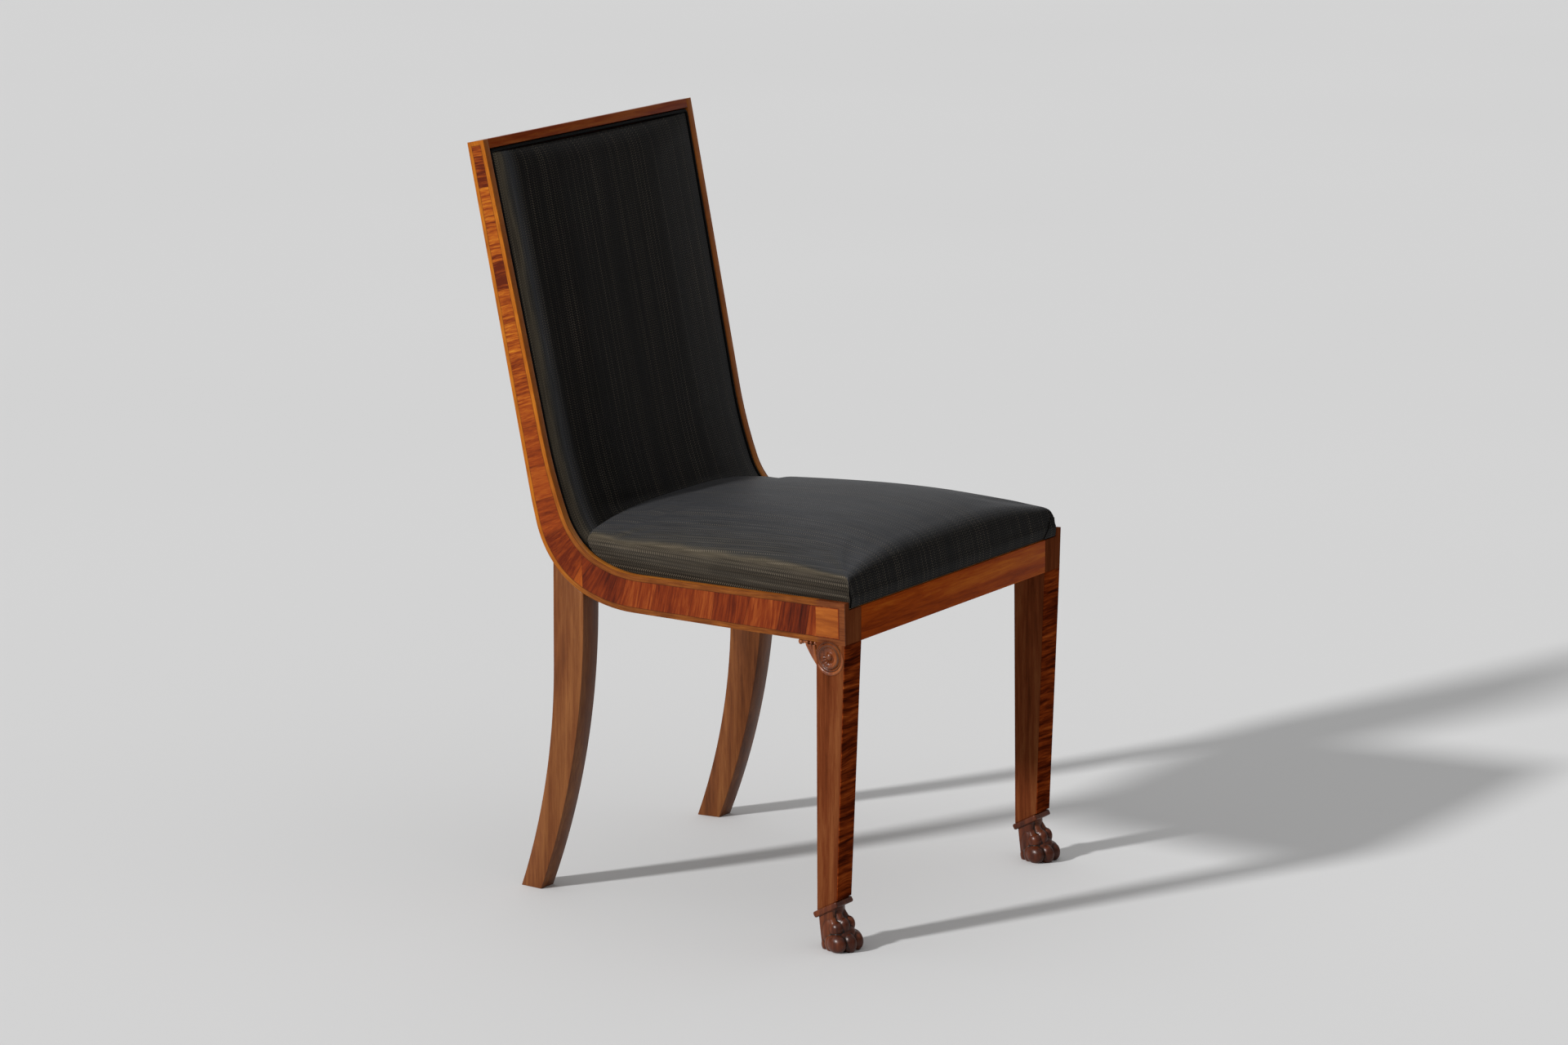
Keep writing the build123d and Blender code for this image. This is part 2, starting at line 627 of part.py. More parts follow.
for hand in (-0.5, 0.5):
    step = hand * DOWEL_SPACING
    z = front_mid_z + step
    front_dowels.add(Vector(LEG_X - LEG_WIDTH, FRONT_Y + RAIL_THICK / 2, z), (1, 0, 0))
    side_dowels.add(Vector(side_x(frame_mid, LEG_BACK_Y, z), LEG_BACK_Y, z), (-SPLAY, 1, 0))
    for dowels, at in (
        (rear_dowels, rear_mid + Vector(0, step)),
        (back_dowels, back_mid + back_rail_along * step),
        (crest_dowels, crest_mid + rake_down * step),
    ):
        dowels.add(Vector(side_x(FRAME_THICK, at.X, at.Y), at.X, at.Y), (1, 0, 0))
    seam = OUTER.point(0, LEG_JOINT_HEADING) + Vector(step, step * tan(radians(LEG_JOINT_HEADING - 180.0)))
    leg_dowels.add(Vector(side_x(frame_mid, seam.X, seam.Y), seam.X, seam.Y), (0, 0, 1))
paw_pegs.add(collar_plane(COLLAR_THICK / 2).origin, (0, 0, 1))

for dowels in (crest_dowels, back_dowels, rear_dowels, side_dowels, leg_dowels):
    side_frame = dowels.drill(side_frame)
for dowels in (front_dowels, side_dowels, paw_pegs):
    front_leg = dowels.drill(front_leg)
rear_leg = leg_dowels.drill(rear_leg)
ankle_collar = paw_pegs.drill(ankle_collar)
paw_foot = paw_pegs.drill(paw_foot)
front_rail = front_dowels.drill(front_rail)
rear_seat_rail = rear_dowels.drill(rear_seat_rail)
crest_rail = crest_dowels.drill(crest_rail)
lower_back_rail = back_dowels.drill(lower_back_rail)

# Pegs that keep the lift-out seat from sliding forward
seat_pegs = []
seat_peg_sockets = []
peg_y = FRONT_Y + RAIL_THICK / 2
for x in (-SEAT_PEG_SPACING / 2, SEAT_PEG_SPACING / 2):
    low = Pos(x, peg_y, ledge_z(peg_y) - SEAT_PEG_DEPTH / 2)
    whole = Pos(x, peg_y, ledge_z(peg_y) + (SEAT_PEG_RISE - SEAT_PEG_DEPTH) / 2)
    socket = Pos(x, peg_y, ledge_z(peg_y) + SEAT_PEG_RISE / 2)
    seat_pegs.append(whole * Cylinder(SEAT_PEG_RADIUS, SEAT_PEG_RISE + SEAT_PEG_DEPTH))
    front_rail -= low * Cylinder(SEAT_PEG_RADIUS + DOWEL_CLEARANCE, SEAT_PEG_DEPTH + SEAT_PEG_CLEARANCE)
    reach = SEAT_PEG_RISE + 4 * SEAT_PEG_CLEARANCE
    seat_peg_sockets.append(socket * Cylinder(SEAT_PEG_RADIUS + SEAT_PEG_CLEARANCE, reach))

# Padded back: webbing and hessian on the rebates, then the pad, its cover and its welt
web_front = REBATE - WEBBING_THICK
hessian_rear = REBATE - 2 * WEBBING_THICK
pad_rear = hessian_rear - HESSIAN_THICK
welt_room = 2 * WELT_RADIUS + 2 * WELT_CLEARANCE


def raked(drop, shift):
    """Side-view point of the upright at a drop from its top and a shift into the wood."""
    return BACK_TOP + rake_down * drop + rake_in * shift


def raked_slab(drop, drop_end, near, far):
    """Flat slab across the chair on the upright's straight part."""
    corners = [raked(drop, near), raked(drop_end, near), raked(drop_end, far), raked(drop, far)]
    return across(polygon(*[(p.X, p.Y) for p in corners]))


back_webbing = []
for index in range(BACK_STRAPS_CROSS):
    drop = STRAP_DROP + STRAP_PITCH * index
    strap = raked_slab(drop, drop + WEBBING_WIDTH, web_front, REBATE)
    back_webbing.append(strap & between_sides(LIP + SEAT_CLEARANCE))
upright_strap = band(INNER, hessian_rear, INNER, web_front, STRAP_DROP, STRAP_STOP_HEADING)
strap_step = 2 * side_x(FRAME_THICK, BACK_TOP_Y, HEIGHT) / (BACK_STRAPS_UP + 1)
for index in range(BACK_STRAPS_UP):
    x = strap_step * (index - (BACK_STRAPS_UP - 1) / 2)
    back_webbing.append(across(upright_strap, x - WEBBING_WIDTH / 2, x + WEBBING_WIDTH / 2))
back_hessian = across(band(INNER, pad_rear, INNER, hessian_rear, STRAP_DROP, STRAP_STOP_HEADING))
back_hessian = back_hessian & between_sides(LIP + SEAT_CLEARANCE)


def back_section(station, grow):
    """Face of the back pad at a share of its half width, grown outward and let into the frame."""
    proud = PAD_EDGE + (PAD_CROWN - PAD_EDGE) * (1.0 - station**4) + grow

    def lift(point):
        half = side_x(LIP + welt_room, point.X, point.Y) + grow
        return Vector(station * half, point.X, point.Y)

    top = CREST_LIP + welt_room - grow
    front = INNER.pieces(-proud, top + PAD_SHOULDER, PAD_STOP_HEADING)
    behind = INNER.pieces(FRAME_THICK, top, PAD_STOP_HEADING)
    start, begin = raked(top, pad_rear), front[0][0]
    bulge = (start + begin) / 2 + (rake_down + rake_in).normalized() * -PAD_SHOULDER_BULGE
    ends = [(behind[0][0], start), (start, bulge, begin), (front[-1][-1], behind[-1][-1])]
    return make_face(draw(front + behind + ends, lift))


def back_form(grow=0.0):
    """Crowned form of the back pad, grown outward, from inside the frame forward."""
    stations = [-share for share in PAD_STATIONS] + list(PAD_STATIONS[-2::-1])
    return loft([back_section(station, grow) for station in stations])


pad_room = across(band(INNER, -PAD_CROWN - FRAME_THICK, INNER, pad_rear))
back_stuffing = back_form(-COVER_THICK - COVER_EASE) & pad_room
back_cover = (back_form() - back_form(-COVER_THICK)) & pad_room


def welt_side(hand):
    """Lines and arcs of the welt up one side of the back, from the seat to the top corner."""

    def lift(point):
        half = side_x(LIP + WELT_RADIUS + WELT_CLEARANCE, point.X, point.Y)
        return Vector(hand * half, point.X, point.Y)

    found = INNER.pieces(WELT_RADIUS, CREST_LIP + WELT_RADIUS + WELT_CLEARANCE, STRAP_STOP_HEADING)
    return [[lift(point) for point in points] for points in found]


def turned_corner(corner, first, second):
    """Three points of the arc that rounds a welt corner between two directions."""
    first, second = first.normalized(), second.normalized()
    inward = (first + second).normalized()
    half_angle = radians(first.get_angle(second)) / 2
    reach = WELT_CORNER / tan(half_angle)
    middle = corner + inward * (WELT_CORNER / sin(half_angle) - WELT_CORNER)
    return [corner + first * reach, middle, corner + second * reach]


welt_right, welt_left = welt_side(1), welt_side(-1)
corners = []
for own, other in ((welt_right, welt_left), (welt_left, welt_right)):
    corner = own[0][0]
    corners.append(turned_corner(corner, own[0][1] - corner, other[0][0] - corner))
    own[0] = [corners[-1][0], own[0][1]]
welt_runs = welt_right + welt_left + corners + [[corners[0][2], corners[1][2]]]
welt_path = Wire([edge for edge in draw(welt_runs, Vector)])
welt_start = welt_path @ 0
back_welt = sweep(Plane(origin=welt_start, z_dir=welt_path % 0) * Circle(WELT_RADIUS), path=welt_path)

# Thin panel that closes the outside of the back, under the cloth
panel_face = band(OUTER, -PANEL_INSET - PANEL_THICK, OUTER, -PANEL_INSET, CREST_DEPTH, PANEL_STOP_HEADING)
outside_back = across(panel_face) & between_sides(FRAME_THICK)

# Lift-out seat: its own plane lies on the ledge and falls a little to the rear
seat_tilt = radians(RAIL_TOP_SLOPE)
SEAT_PLANE = Plane(
    origin=(0, FRONT_Y, ledge_front_z + SEAT_GAP), x_dir=(1, 0, 0), z_dir=(0, sin(seat_tilt), cos(seat_tilt))
)
lip_fall = SPLAY + LEAN * ledge_fall
seat_half_front = side_x(LIP, FRONT_Y, ledge_front_z) - SEAT_CLEARANCE
narrow = side_x(LIP, 0, 0) - side_x(FRAME_THICK, 0, 0)
cover_room = COVER_THICK + COVER_EASE
seat_start = SEAT_FRONT_INSET + cover_room
front_rail_end = seat_start + SEAT_RAIL_WIDTH
wide_end = INNER.point(REBATE, INNER.ahead).X - FRONT_Y - SEAT_REAR_EASE
seat_end = wide_end + SEAT_REAR_RAIL_WIDTH
web_low = SEAT_RAIL_THICK
hessian_low = web_low + 2 * WEBBING_THICK
stuffing_low = hessian_low + HESSIAN_THICK


def seat_half(v, depth=0.0):
    """Half width of the seat at a distance from the front, less a depth."""
    return seat_half_front - lip_fall * v - depth


def seat_block(corners, low, high):
    """Upright block on the seat's plane over a plan of corner points."""
    face = make_face(Polyline(*[Vector(x, v, low) for x, v in corners], close=True))
    return SEAT_PLANE * extrude(face, amount=high - low, dir=(0, 0, 1))


def seat_slab(start, end, depth, low, high):
    """Slab across the whole seat between two distances from the front."""
    near, far = seat_half(start, depth), seat_half(end, depth)
    return seat_block([(-near, start), (near, start), (far, end), (-far, end)], low, high)


def seat_section(v, ridge, crown, inset):
    """Face of the cushion across the chair: upright sides, round shoulders and a crowned top."""
    low = -SEAT_CORNER
    half = seat_half(v, inset)
    ridge, crown = ridge - inset, crown - inset
    shoulder = SEAT_CORNER * (1.0 - 0.5**0.5)
    edges = [Line(Vector(-half, v, low), Vector(half, v, low))]
    for hand in (-1, 1):
        foot = Vector(hand * half, v, ridge - SEAT_CORNER)
        brow = Vector(hand * (half - SEAT_CORNER), v, ridge)
        middle = Vector(hand * (half - shoulder), v, ridge - shoulder)
        edges += [Line(Vector(hand * half, v, low), foot), ThreePointArc(foot, middle, brow)]
    reach = half - SEAT_CORNER
    edges.append(ThreePointArc(Vector(-reach, v, ridge), Vector(0, v, crown), Vector(reach, v, ridge)))
    return make_face(edges)


def seat_form(inset, low):
    """Cushion with a rounded nose, scribed to the ledge and to the padded back."""
    sections = []
    for station, ridge, crown in zip(STATION_SHARES, RIDGE_SHARES, CROWN_SHARES):
        v = SEAT_FRONT_INSET + station * SEAT_REACH
        sections.append(seat_section(v, ridge * SEAT_RIDGE, crown * SEAT_CROWN, inset))
    form = loft(sections)
    form = SEAT_PLANE * (form & (Pos(0, 0, low + FAR / 2) * Box(2 * FAR, 2 * FAR, FAR)))
    start = SEAT_FRONT_INSET + inset
    rise = SEAT_NOSE_RISE - inset
    end = start + SEAT_NOSE_REACH
    peak = rise + SEAT_NOSE_REACH
    middle = Vector(0, start + SEAT_NOSE_REACH * (1.0 - 0.5**0.5), rise + SEAT_NOSE_REACH * 0.5**0.5)
    nose = [
        Line(Vector(0, start, -FAR), Vector(0, start, rise)),
        ThreePointArc(Vector(0, start, rise), middle, Vector(0, end, peak)),
        Line(Vector(0, end, peak), Vector(0, end, FAR)),
        Line(Vector(0, end, FAR), Vector(0, FAR, FAR)),
        Line(Vector(0, FAR, FAR), Vector(0, FAR, -FAR)),
        Line(Vector(0, FAR, -FAR), Vector(0, start, -FAR)),
    ]
    form = form & (SEAT_PLANE * across(make_face(nose)))
    gap = SEAT_BACK_GAP + inset
    pad_end = INNER.point(-PAD_CROWN - gap, PAD_STOP_HEADING) + Vector(-SEAT_CLEARANCE, SEAT_CLEARANCE)
    behind = polygon((pad_end.X, pad_end.Y), (pad_end.X, 0), (FAR, 0), (FAR, pad_end.Y))
    form = form - across(behind) - back_form(gap)
    return form.solids().sort_by(SortBy.VOLUME)[-1]


scribe = across(band(INNER, REBATE - SEAT_CLEARANCE, OUTER, 0))
seat_stuffing = seat_form(cover_room, stuffing_low) - scribe
seat_cover = seat_form(0, 0) - seat_form(COVER_THICK, -COVER_THICK) - scribe

seat_rail_front = seat_slab(seat_start, front_rail_end, cover_room, 0, SEAT_RAIL_THICK) - seat_peg_sockets
seat_rail_rear = seat_slab(wide_end, seat_end, narrow, 0, SEAT_RAIL_THICK)
side_corners = [
    (seat_half(front_rail_end, cover_room), front_rail_end),
    (seat_half(wide_end, cover_room), wide_end),
    (seat_half(wide_end, cover_room + SEAT_RAIL_WIDTH), wide_end),
    (seat_half(front_rail_end, cover_room + SEAT_RAIL_WIDTH), front_rail_end),
]
seat_rail_side = seat_block(side_corners, 0, SEAT_RAIL_THICK)

seat_dowels = Joinery(DOWEL_RADIUS, DOWEL_LENGTH)
for v, shift in ((front_rail_end, 0), (wide_end, narrow / 2)):
    for hand in (-0.5, 0.5):
        x = seat_half(v, SEAT_RAIL_WIDTH / 2 + shift + hand * DOWEL_SPACING)
        seat_dowels.add(SEAT_PLANE.from_local_coords(Vector(x, v, SEAT_RAIL_THICK / 2)), SEAT_PLANE.y_dir)
seat_rail_front = seat_dowels.drill(seat_rail_front)
seat_rail_rear = seat_dowels.drill(seat_rail_rear)
seat_rail_side = seat_dowels.drill(seat_rail_side)

seat_webbing = []
strap_start, strap_end = seat_start + STRAP_INSET, seat_end - STRAP_INSET
long_step = 2 * seat_half(strap_end, narrow) / SEAT_STRAPS_LONG
for index in range(SEAT_STRAPS_LONG):
    x = long_step * (index - (SEAT_STRAPS_LONG - 1) / 2)
    low, high = x - WEBBING_WIDTH / 2, x + WEBBING_WIDTH / 2
    plan = [(low, strap_start), (high, strap_start), (high, strap_end), (low, strap_end)]
    seat_webbing.append(seat_block(plan, web_low, web_low + WEBBING_THICK))
cross_step = (wide_end - front_rail_end) / SEAT_STRAPS_CROSS
for index in range(SEAT_STRAPS_CROSS):
    start = front_rail_end + cross_step * (index + 0.5) - WEBBING_WIDTH / 2
    end = start + WEBBING_WIDTH
    seat_webbing.append(seat_slab(start, end, STRAP_INSET, web_low + WEBBING_THICK, hessian_low))
seat_hessian = seat_slab(seat_start, seat_end, cover_room + SEAT_CLEARANCE, hessian_low, stuffing_low)

dust_start = LEG_DEPTH + DUST_EASE
dust_end = rear_rail_y - FRONT_Y - DUST_EASE
dust_depth = narrow + DUST_EASE
seat_dust_cover = seat_slab(dust_start, dust_end, dust_depth, -DUST_THICK, 0)
tack_spots = []
for index in range(TACKS_PER_SIDE):
    share = index / (TACKS_PER_SIDE - 1)
    for v in (dust_start + TACK_INSET, dust_end - TACK_INSET):
        reach = seat_half(v, dust_depth + TACK_INSET)
        tack_spots.append((reach * (2 * share - 1), v))
    if 0 < index < TACKS_PER_SIDE - 1:
        v = dust_start + TACK_INSET + share * (dust_end - dust_start - 2 * TACK_INSET)
        reach = seat_half(v, dust_depth + TACK_INSET)
        tack_spots += [(-reach, v), (reach, v)]
seat_tacks = []
for x, v in tack_spots:
    head = Pos(x, v, -DUST_THICK - TACK_THICK / 2) * Cylinder(TACK_RADIUS, TACK_THICK)
    shank = Pos(x, v, TACK_LENGTH / 2 - DUST_THICK) * Cylinder(TACK_SHANK, TACK_LENGTH)
    seat_tacks.append(SEAT_PLANE * (head + shank))
seat_dust_cover = seat_dust_cover - seat_tacks
seat_rail_front = seat_rail_front - seat_tacks
seat_rail_rear = seat_rail_rear - seat_tacks
seat_rail_side = seat_rail_side - seat_tacks

# Nodes, one file each
PAIRS = {
    "side_frame": side_frame,
    "crossband": crossband,
    "edge_stringing": edge_stringing,
    "corner_panel": corner_panel,
    "front_leg": front_leg,
    "front_leg_veneer": front_leg_veneer,
    "ankle_collar": ankle_collar,
    "paw_foot": paw_foot,
    "scroll_bracket": scroll_bracket,
    "bracket_rosette": bracket_rosette,
    "rear_leg": rear_leg,
    "corner_block_front": front_block,
    "corner_block_rear": rear_block,
    "seat_rail": seat_rail_side,
}
NODES = {
    "crest_rail": crest_rail,
    "lower_back_rail": lower_back_rail,
    "rear_seat_rail": rear_seat_rail,
    "front_rail": front_rail,
    "corner_block_screws": group(screws),
    "front_rail_dowels": group(front_dowels.pins),
    "side_rail_dowels": group(side_dowels.pins),
    "rear_rail_dowels": group(rear_dowels.pins),
    "rear_leg_dowels": group(leg_dowels.pins),
    "back_rail_dowels": group(back_dowels.pins),
    "crest_dowels": group(crest_dowels.pins),
    "paw_pegs": group(paw_pegs.pins),
    "seat_pegs": group(seat_pegs),
    "back_webbing": group(back_webbing),
    "back_hessian": back_hessian,
    "back_stuffing": back_stuffing,
    "back_cover": back_cover,
    "back_welt": back_welt,
    "outside_back": outside_back,
    "seat_rail_front": seat_rail_front,
    "seat_rail_rear": seat_rail_rear,
    "seat_frame_dowels": group(seat_dowels.pins),
    "seat_webbing": group(seat_webbing),
    "seat_hessian": seat_hessian,
    "seat_stuffing": seat_stuffing,
    "seat_cover": seat_cover,
    "seat_dust_cover": seat_dust_cover,
    "seat_tacks": group(seat_tacks),
}
for name, part in PAIRS.items():
    NODES[f"{name}_right"], NODES[f"{name}_left"] = both(part)

os.makedirs("parts", exist_ok=True)
for name, part in NODES.items():
    part.label = name
    export_step(part, f"parts/{name}.step")
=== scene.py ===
"""A side chair: J-shaped veneered side frames, paw feet, a lift-out horsehair seat and a padded back."""

import logging
import math
from dataclasses import dataclass, field
from enum import Enum
from functools import cache, cached_property
from typing import Callable, Sequence, Union

import bmesh
import bpy
import numpy as np
from mathutils import Matrix, Vector
from mathutils.bvhtree import BVHTree


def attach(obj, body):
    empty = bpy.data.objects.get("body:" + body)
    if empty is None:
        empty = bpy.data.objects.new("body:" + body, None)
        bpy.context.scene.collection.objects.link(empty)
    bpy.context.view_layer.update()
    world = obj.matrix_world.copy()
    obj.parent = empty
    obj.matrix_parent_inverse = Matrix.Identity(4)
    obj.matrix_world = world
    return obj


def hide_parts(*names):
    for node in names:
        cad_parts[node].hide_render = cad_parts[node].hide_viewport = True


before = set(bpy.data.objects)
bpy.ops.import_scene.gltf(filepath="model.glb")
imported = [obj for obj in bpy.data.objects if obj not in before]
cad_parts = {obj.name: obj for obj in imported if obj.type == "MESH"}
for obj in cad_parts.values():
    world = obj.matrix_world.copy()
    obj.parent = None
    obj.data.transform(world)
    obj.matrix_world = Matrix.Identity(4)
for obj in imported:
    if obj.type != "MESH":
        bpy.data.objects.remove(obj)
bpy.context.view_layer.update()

LOG = logging.getLogger("side_chair")
MM = 0.001
TURN = 2 * math.pi

Mesh, Piece, Material, Shape = bpy.types.Mesh, bpy.types.Object, bpy.types.Material, bmesh.types.BMesh
Colour = tuple[float, float, float, float]
Value = Union["Wire", int, float]
Rows = tuple[tuple[float, ...], ...]
SheetForm = Callable[[float, float], Vector]
BlockForm = Callable[[float, float, float], Vector]


class Side(Enum):
    """The two sides of the chair, with the sign of x on each."""

    LEFT = -1
    RIGHT = 1

    def named(self, stem: str) -> str:
        """Returns the stem with the side's word after it."""
        return f"{stem}_{self.name.lower()}"


class Body(Enum):
    """The two moving bodies of the chair."""

    FRAME = "frame"
    SEAT = "seat"


class Axis(Enum):
    """The direction that a timber's grain runs in, as its stretch along x, y and z."""

    ACROSS = (0.07, 1.0, 1.0)
    DEEP = (1.0, 0.07, 1.0)
    UPRIGHT = (1.0, 1.0, 0.07)


def ink(code: str) -> Colour:
    """Turns a colour written as six hex digits into linear light.

    Args:
        code: The colour as it looks on screen.

    Returns:
        Linear red, green and blue, and an alpha of 1.
    """
    parts = [int(code[i : i + 2], 16) / 255 for i in (0, 2, 4)]
    linear = [c / 12.92 if c <= 0.04045 else ((c + 0.055) / 1.055) ** 2.4 for c in parts]
    return (*linear, 1.0)


# Shader tools


def worked(operation: str, swapped: bool = False) -> Callable[..., "Wire"]:
    """Makes a method of Wire that adds a Math node.

    Args:
        operation: The node's operation.
        swapped: Whether the wire comes after the other value.

    Returns:
        The method.
    """

    def method(wire: "Wire", *others: Value) -> "Wire":
        """Adds the node and returns its value."""
        values = (*others, wire) if swapped else (wire, *others)
        return wire.bench.node("Math", {"operation": operation}, dict(enumerate(values)))

    return method


class Wire:
    """An output socket of a shader node, with arithmetic that adds Math nodes."""

    def __init__(self, bench: "Bench", socket: bpy.types.NodeSocket | None) -> None:
        """Keeps the bench that the socket's node stands on, and the socket."""
        self.bench, self.socket = bench, socket

    __add__ = __radd__ = worked("ADD")
    __mul__ = __rmul__ = worked("MULTIPLY")
    __sub__, __rsub__ = worked("SUBTRACT"), worked("SUBTRACT", True)
    __truediv__ = worked("DIVIDE")
    floor, fraction, size, sine = worked("FLOOR"), worked("FRACT"), worked("ABSOLUTE"), worked("SINE")

    def rise(self, low: float, high: float, way: str = "SMOOTHSTEP") -> "Wire":
        """Goes from 0 to 1.

        Args:
            low: The value at which the result leaves 0.
            high: The value at which the result reaches 1.
            way: How it goes between them.

        Returns:
            The clamped share of the way from low to high.
        """
        limits = {"Value": self, "From Min": low, "From Max": high}
        return self.bench.node("MapRange", {"interpolation_type": way}, limits)


class Bench:
    """A tree of shader nodes, and the few kinds of node that the finishes use."""

    SOCKETS = {
        "shine": "Specular IOR Level", "coat": "Coat Weight", "coat_rough": "Coat Roughness", "metal": "Metallic",
        "sheen": "Sheen Weight", "sheen_rough": "Sheen Roughness", "sheen_tint": "Sheen Tint", "normal": "Normal",
    }  # fmt: skip

    def __init__(self, tree: bpy.types.NodeTree) -> None:
        """Clears the tree and keeps it."""
        tree.nodes.clear()
        self.tree = tree

    def node(
        self, kind: str, settings: dict[str, object] | None = None,
        inputs: dict[Union[str, int], object] | None = None, output: Union[str, int] = 0,
    ) -> Wire:  # fmt: skip
        """Adds one node.

        Args:
            kind: The node's type, after the word ShaderNode.
            settings: The node's own settings, set first.
            inputs: Values or wires for its sockets, by name or place.
            output: The output socket wanted.

        Returns:
            That output socket.
        """
        made = self.tree.nodes.new(f"ShaderNode{kind}")
        for key, value in (settings or {}).items():
            setattr(made, key, value)
        for key, value in (inputs or {}).items():
            if isinstance(value, Wire):
                self.tree.links.new(value.socket, made.inputs[key])
            else:
                made.inputs[key].default_value = value
        return Wire(self, made.outputs[output] if made.outputs else None)

    def place(self, stretch: Sequence[float] = (1, 1, 1)) -> Wire:
        """Returns Object coordinates, stretched."""
        spot = self.node("TexCoord", output="Object")
        return self.node("Mapping", None, {"Vector": spot, "Scale": stretch})

    def split(self, vector: Wire) -> tuple[Wire, ...]:
        """Returns the vector's three parts."""
        made = self.node("SeparateXYZ", None, {0: vector}).socket.node
        return tuple(Wire(self, part) for part in made.outputs)

    def stamped(self, name: str) -> tuple[Wire, ...]:
        """Returns the three parts of a vector attribute of the mesh."""
        return self.split(self.node("Attribute", {"attribute_name": name}, output="Vector"))

    def noise(
        self, where: Union[Wire, Sequence[Value]], scale: float, detail: float = 3, rough: float = 0.55, bend: float = 0
    ) -> Wire:
        """Returns a noise value between 0 and 1.

        Args:
            where: Where the noise is read, as a vector or its three parts.
            scale: Features to the metre.
            detail: Octaves.
            rough: The share that each octave keeps.
            bend: Distortion.

        Returns:
            The noise value.
        """
        vector = where if isinstance(where, Wire) else self.node("CombineXYZ", None, dict(enumerate(where)))
        look = {"Vector": vector, "Scale": scale, "Detail": detail, "Roughness": rough, "Distortion": bend}
        return self.node("TexNoise", None, look)

    def chance(self, value: Wire) -> Wire:
        """Returns one chance value from 0 to 1 for each whole number."""
        return self.node("TexWhiteNoise", {"noise_dimensions": "1D"}, {"W": value})

    def ramp(self, value: Wire, *stops: tuple[float, str]) -> Wire:
        """Colours a value.

        Args:
            value: The value.
            stops: Values, each with the colour that it gets.

        Returns:
            The colour.
        """
        made = self.node("ValToRGB", None, {"Fac": value})
        elements = made.socket.node.color_ramp.elements
        while len(elements) < len(stops):
            elements.new(0.5)
        for element, (place, code) in zip(elements, stops):
            element.position, element.color = place, ink(code)
        return made

    def mix(self, share: Value, *colours: Union[Wire, str], blend: str = "MIX") -> Wire:
        """Mixes two colours.

        Args:
            share: How much of the second.
            colours: The two, as wires or hex digits.
            blend: The way they are mixed.

        Returns:
            The mixed colour.
        """
        first, second = (ink(c) if isinstance(c, str) else c for c in colours)
        return self.node("Mix", {"data_type": "RGBA", "blend_type": blend}, {0: share, 6: first, 7: second}, 2)

    def bump(self, height: Wire, depth: float, strength: float = 1.0) -> Wire:
        """Returns a normal that is roughened by a height, whose full range is the depth in metres."""
        return self.node("Bump", None, {"Height": height, "Distance": depth, "Strength": strength})

    def surface(self, colour: Wire, rough: Value, **more: object) -> None:
        """Ends the tree in one principled shader.

        Args:
            colour: Its base colour.
            rough: Its roughness.
            more: Values or wires for other sockets, by their short names.
        """
        inputs = {self.SOCKETS[short]: value for short, value in more.items()}
        shader = self.node("BsdfPrincipled", None, {"Base Color": colour, "Roughness": rough, **inputs})
        self.node("OutputMaterial", None, {"Surface": shader})


# Finishes


@dataclass(frozen=True)
class Finish:
    """A finish that is drawn by shader nodes alone.

    Args:
        name: The material's name.
        slot: The record's material slot for a piece in this finish; it is not used.
    """

    name: str
    slot: str = field(default="show_wood", kw_only=True)

    def draw(self, bench: Bench) -> None:
        """Draws the finish on a bench."""
        raise NotImplementedError


@cache
def material_of(finish: Finish) -> Material:
    """Makes a finish's material.

    Args:
        finish: The finish.

    Returns:
        Its material, which is made the first time.
    """
    made = bpy.data.materials.new(finish.name)
    made.use_nodes = True
    finish.draw(Bench(made.node_tree))
    return made


@dataclass(frozen=True)
class Timber(Finish):
    """Polished solid wood, streaked along its grain, with fine dark pores.

    Args:
        dark: The colour of the dark streaks.
        middle: The main colour.
        light: The colour of the light streaks.
        axis: The way the grain runs.
        rough: The polish's roughness.
        coat: The weight of the clear polish.
        shine: The strength of its reflections.
        runs: Whether the grain follows the side frame's bend.
        wear_and_shade: How strongly painted shade darkens hollows, where the mesh has a hollow attribute.
    """

    dark: str
    middle: str
    light: str
    axis: Axis = Axis.UPRIGHT
    rough: float = 0.34
    coat: float = 0.04
    shine: float = 0.14
    runs: bool = False
    wear_and_shade: float = 0.0

    def draw(self, bench: Bench) -> None:
        """Draws the finish on a bench."""
        if self.runs:
            along, *across = bench.stamped("run")
            grain = (along * Axis.UPRIGHT.value[2], *across)
        else:
            grain = bench.place(self.axis.value)
        broad = bench.noise(grain, 42, 3, 0.5, 0.6)
        streak = bench.noise(grain, 260, 4, 0.65, 0.3)
        pores = bench.noise(grain, 1500, 2, 0.5).rise(0.62, 0.72)
        tone = broad * 0.55 + streak * 0.45
        colour = bench.ramp(tone, (0.3, self.dark), (0.5, self.middle), (0.7, self.light))
        colour = bench.mix(pores * 0.35, colour, self.dark)
        # Painted shade: carved hollows are darkened towards a near black brown.
        if self.wear_and_shade:
            colour = bench.mix(bench.stamped("hollow")[0] * self.wear_and_shade, colour, "170b05")
        normal = bench.bump(streak * 0.5 - pores * 0.5, 0.00012, 0.5)
        rough = streak * 0.16 + (self.rough - 0.08)
        bench.surface(colour, rough, shine=self.shine, coat=self.coat, coat_rough=0.22, normal=normal)


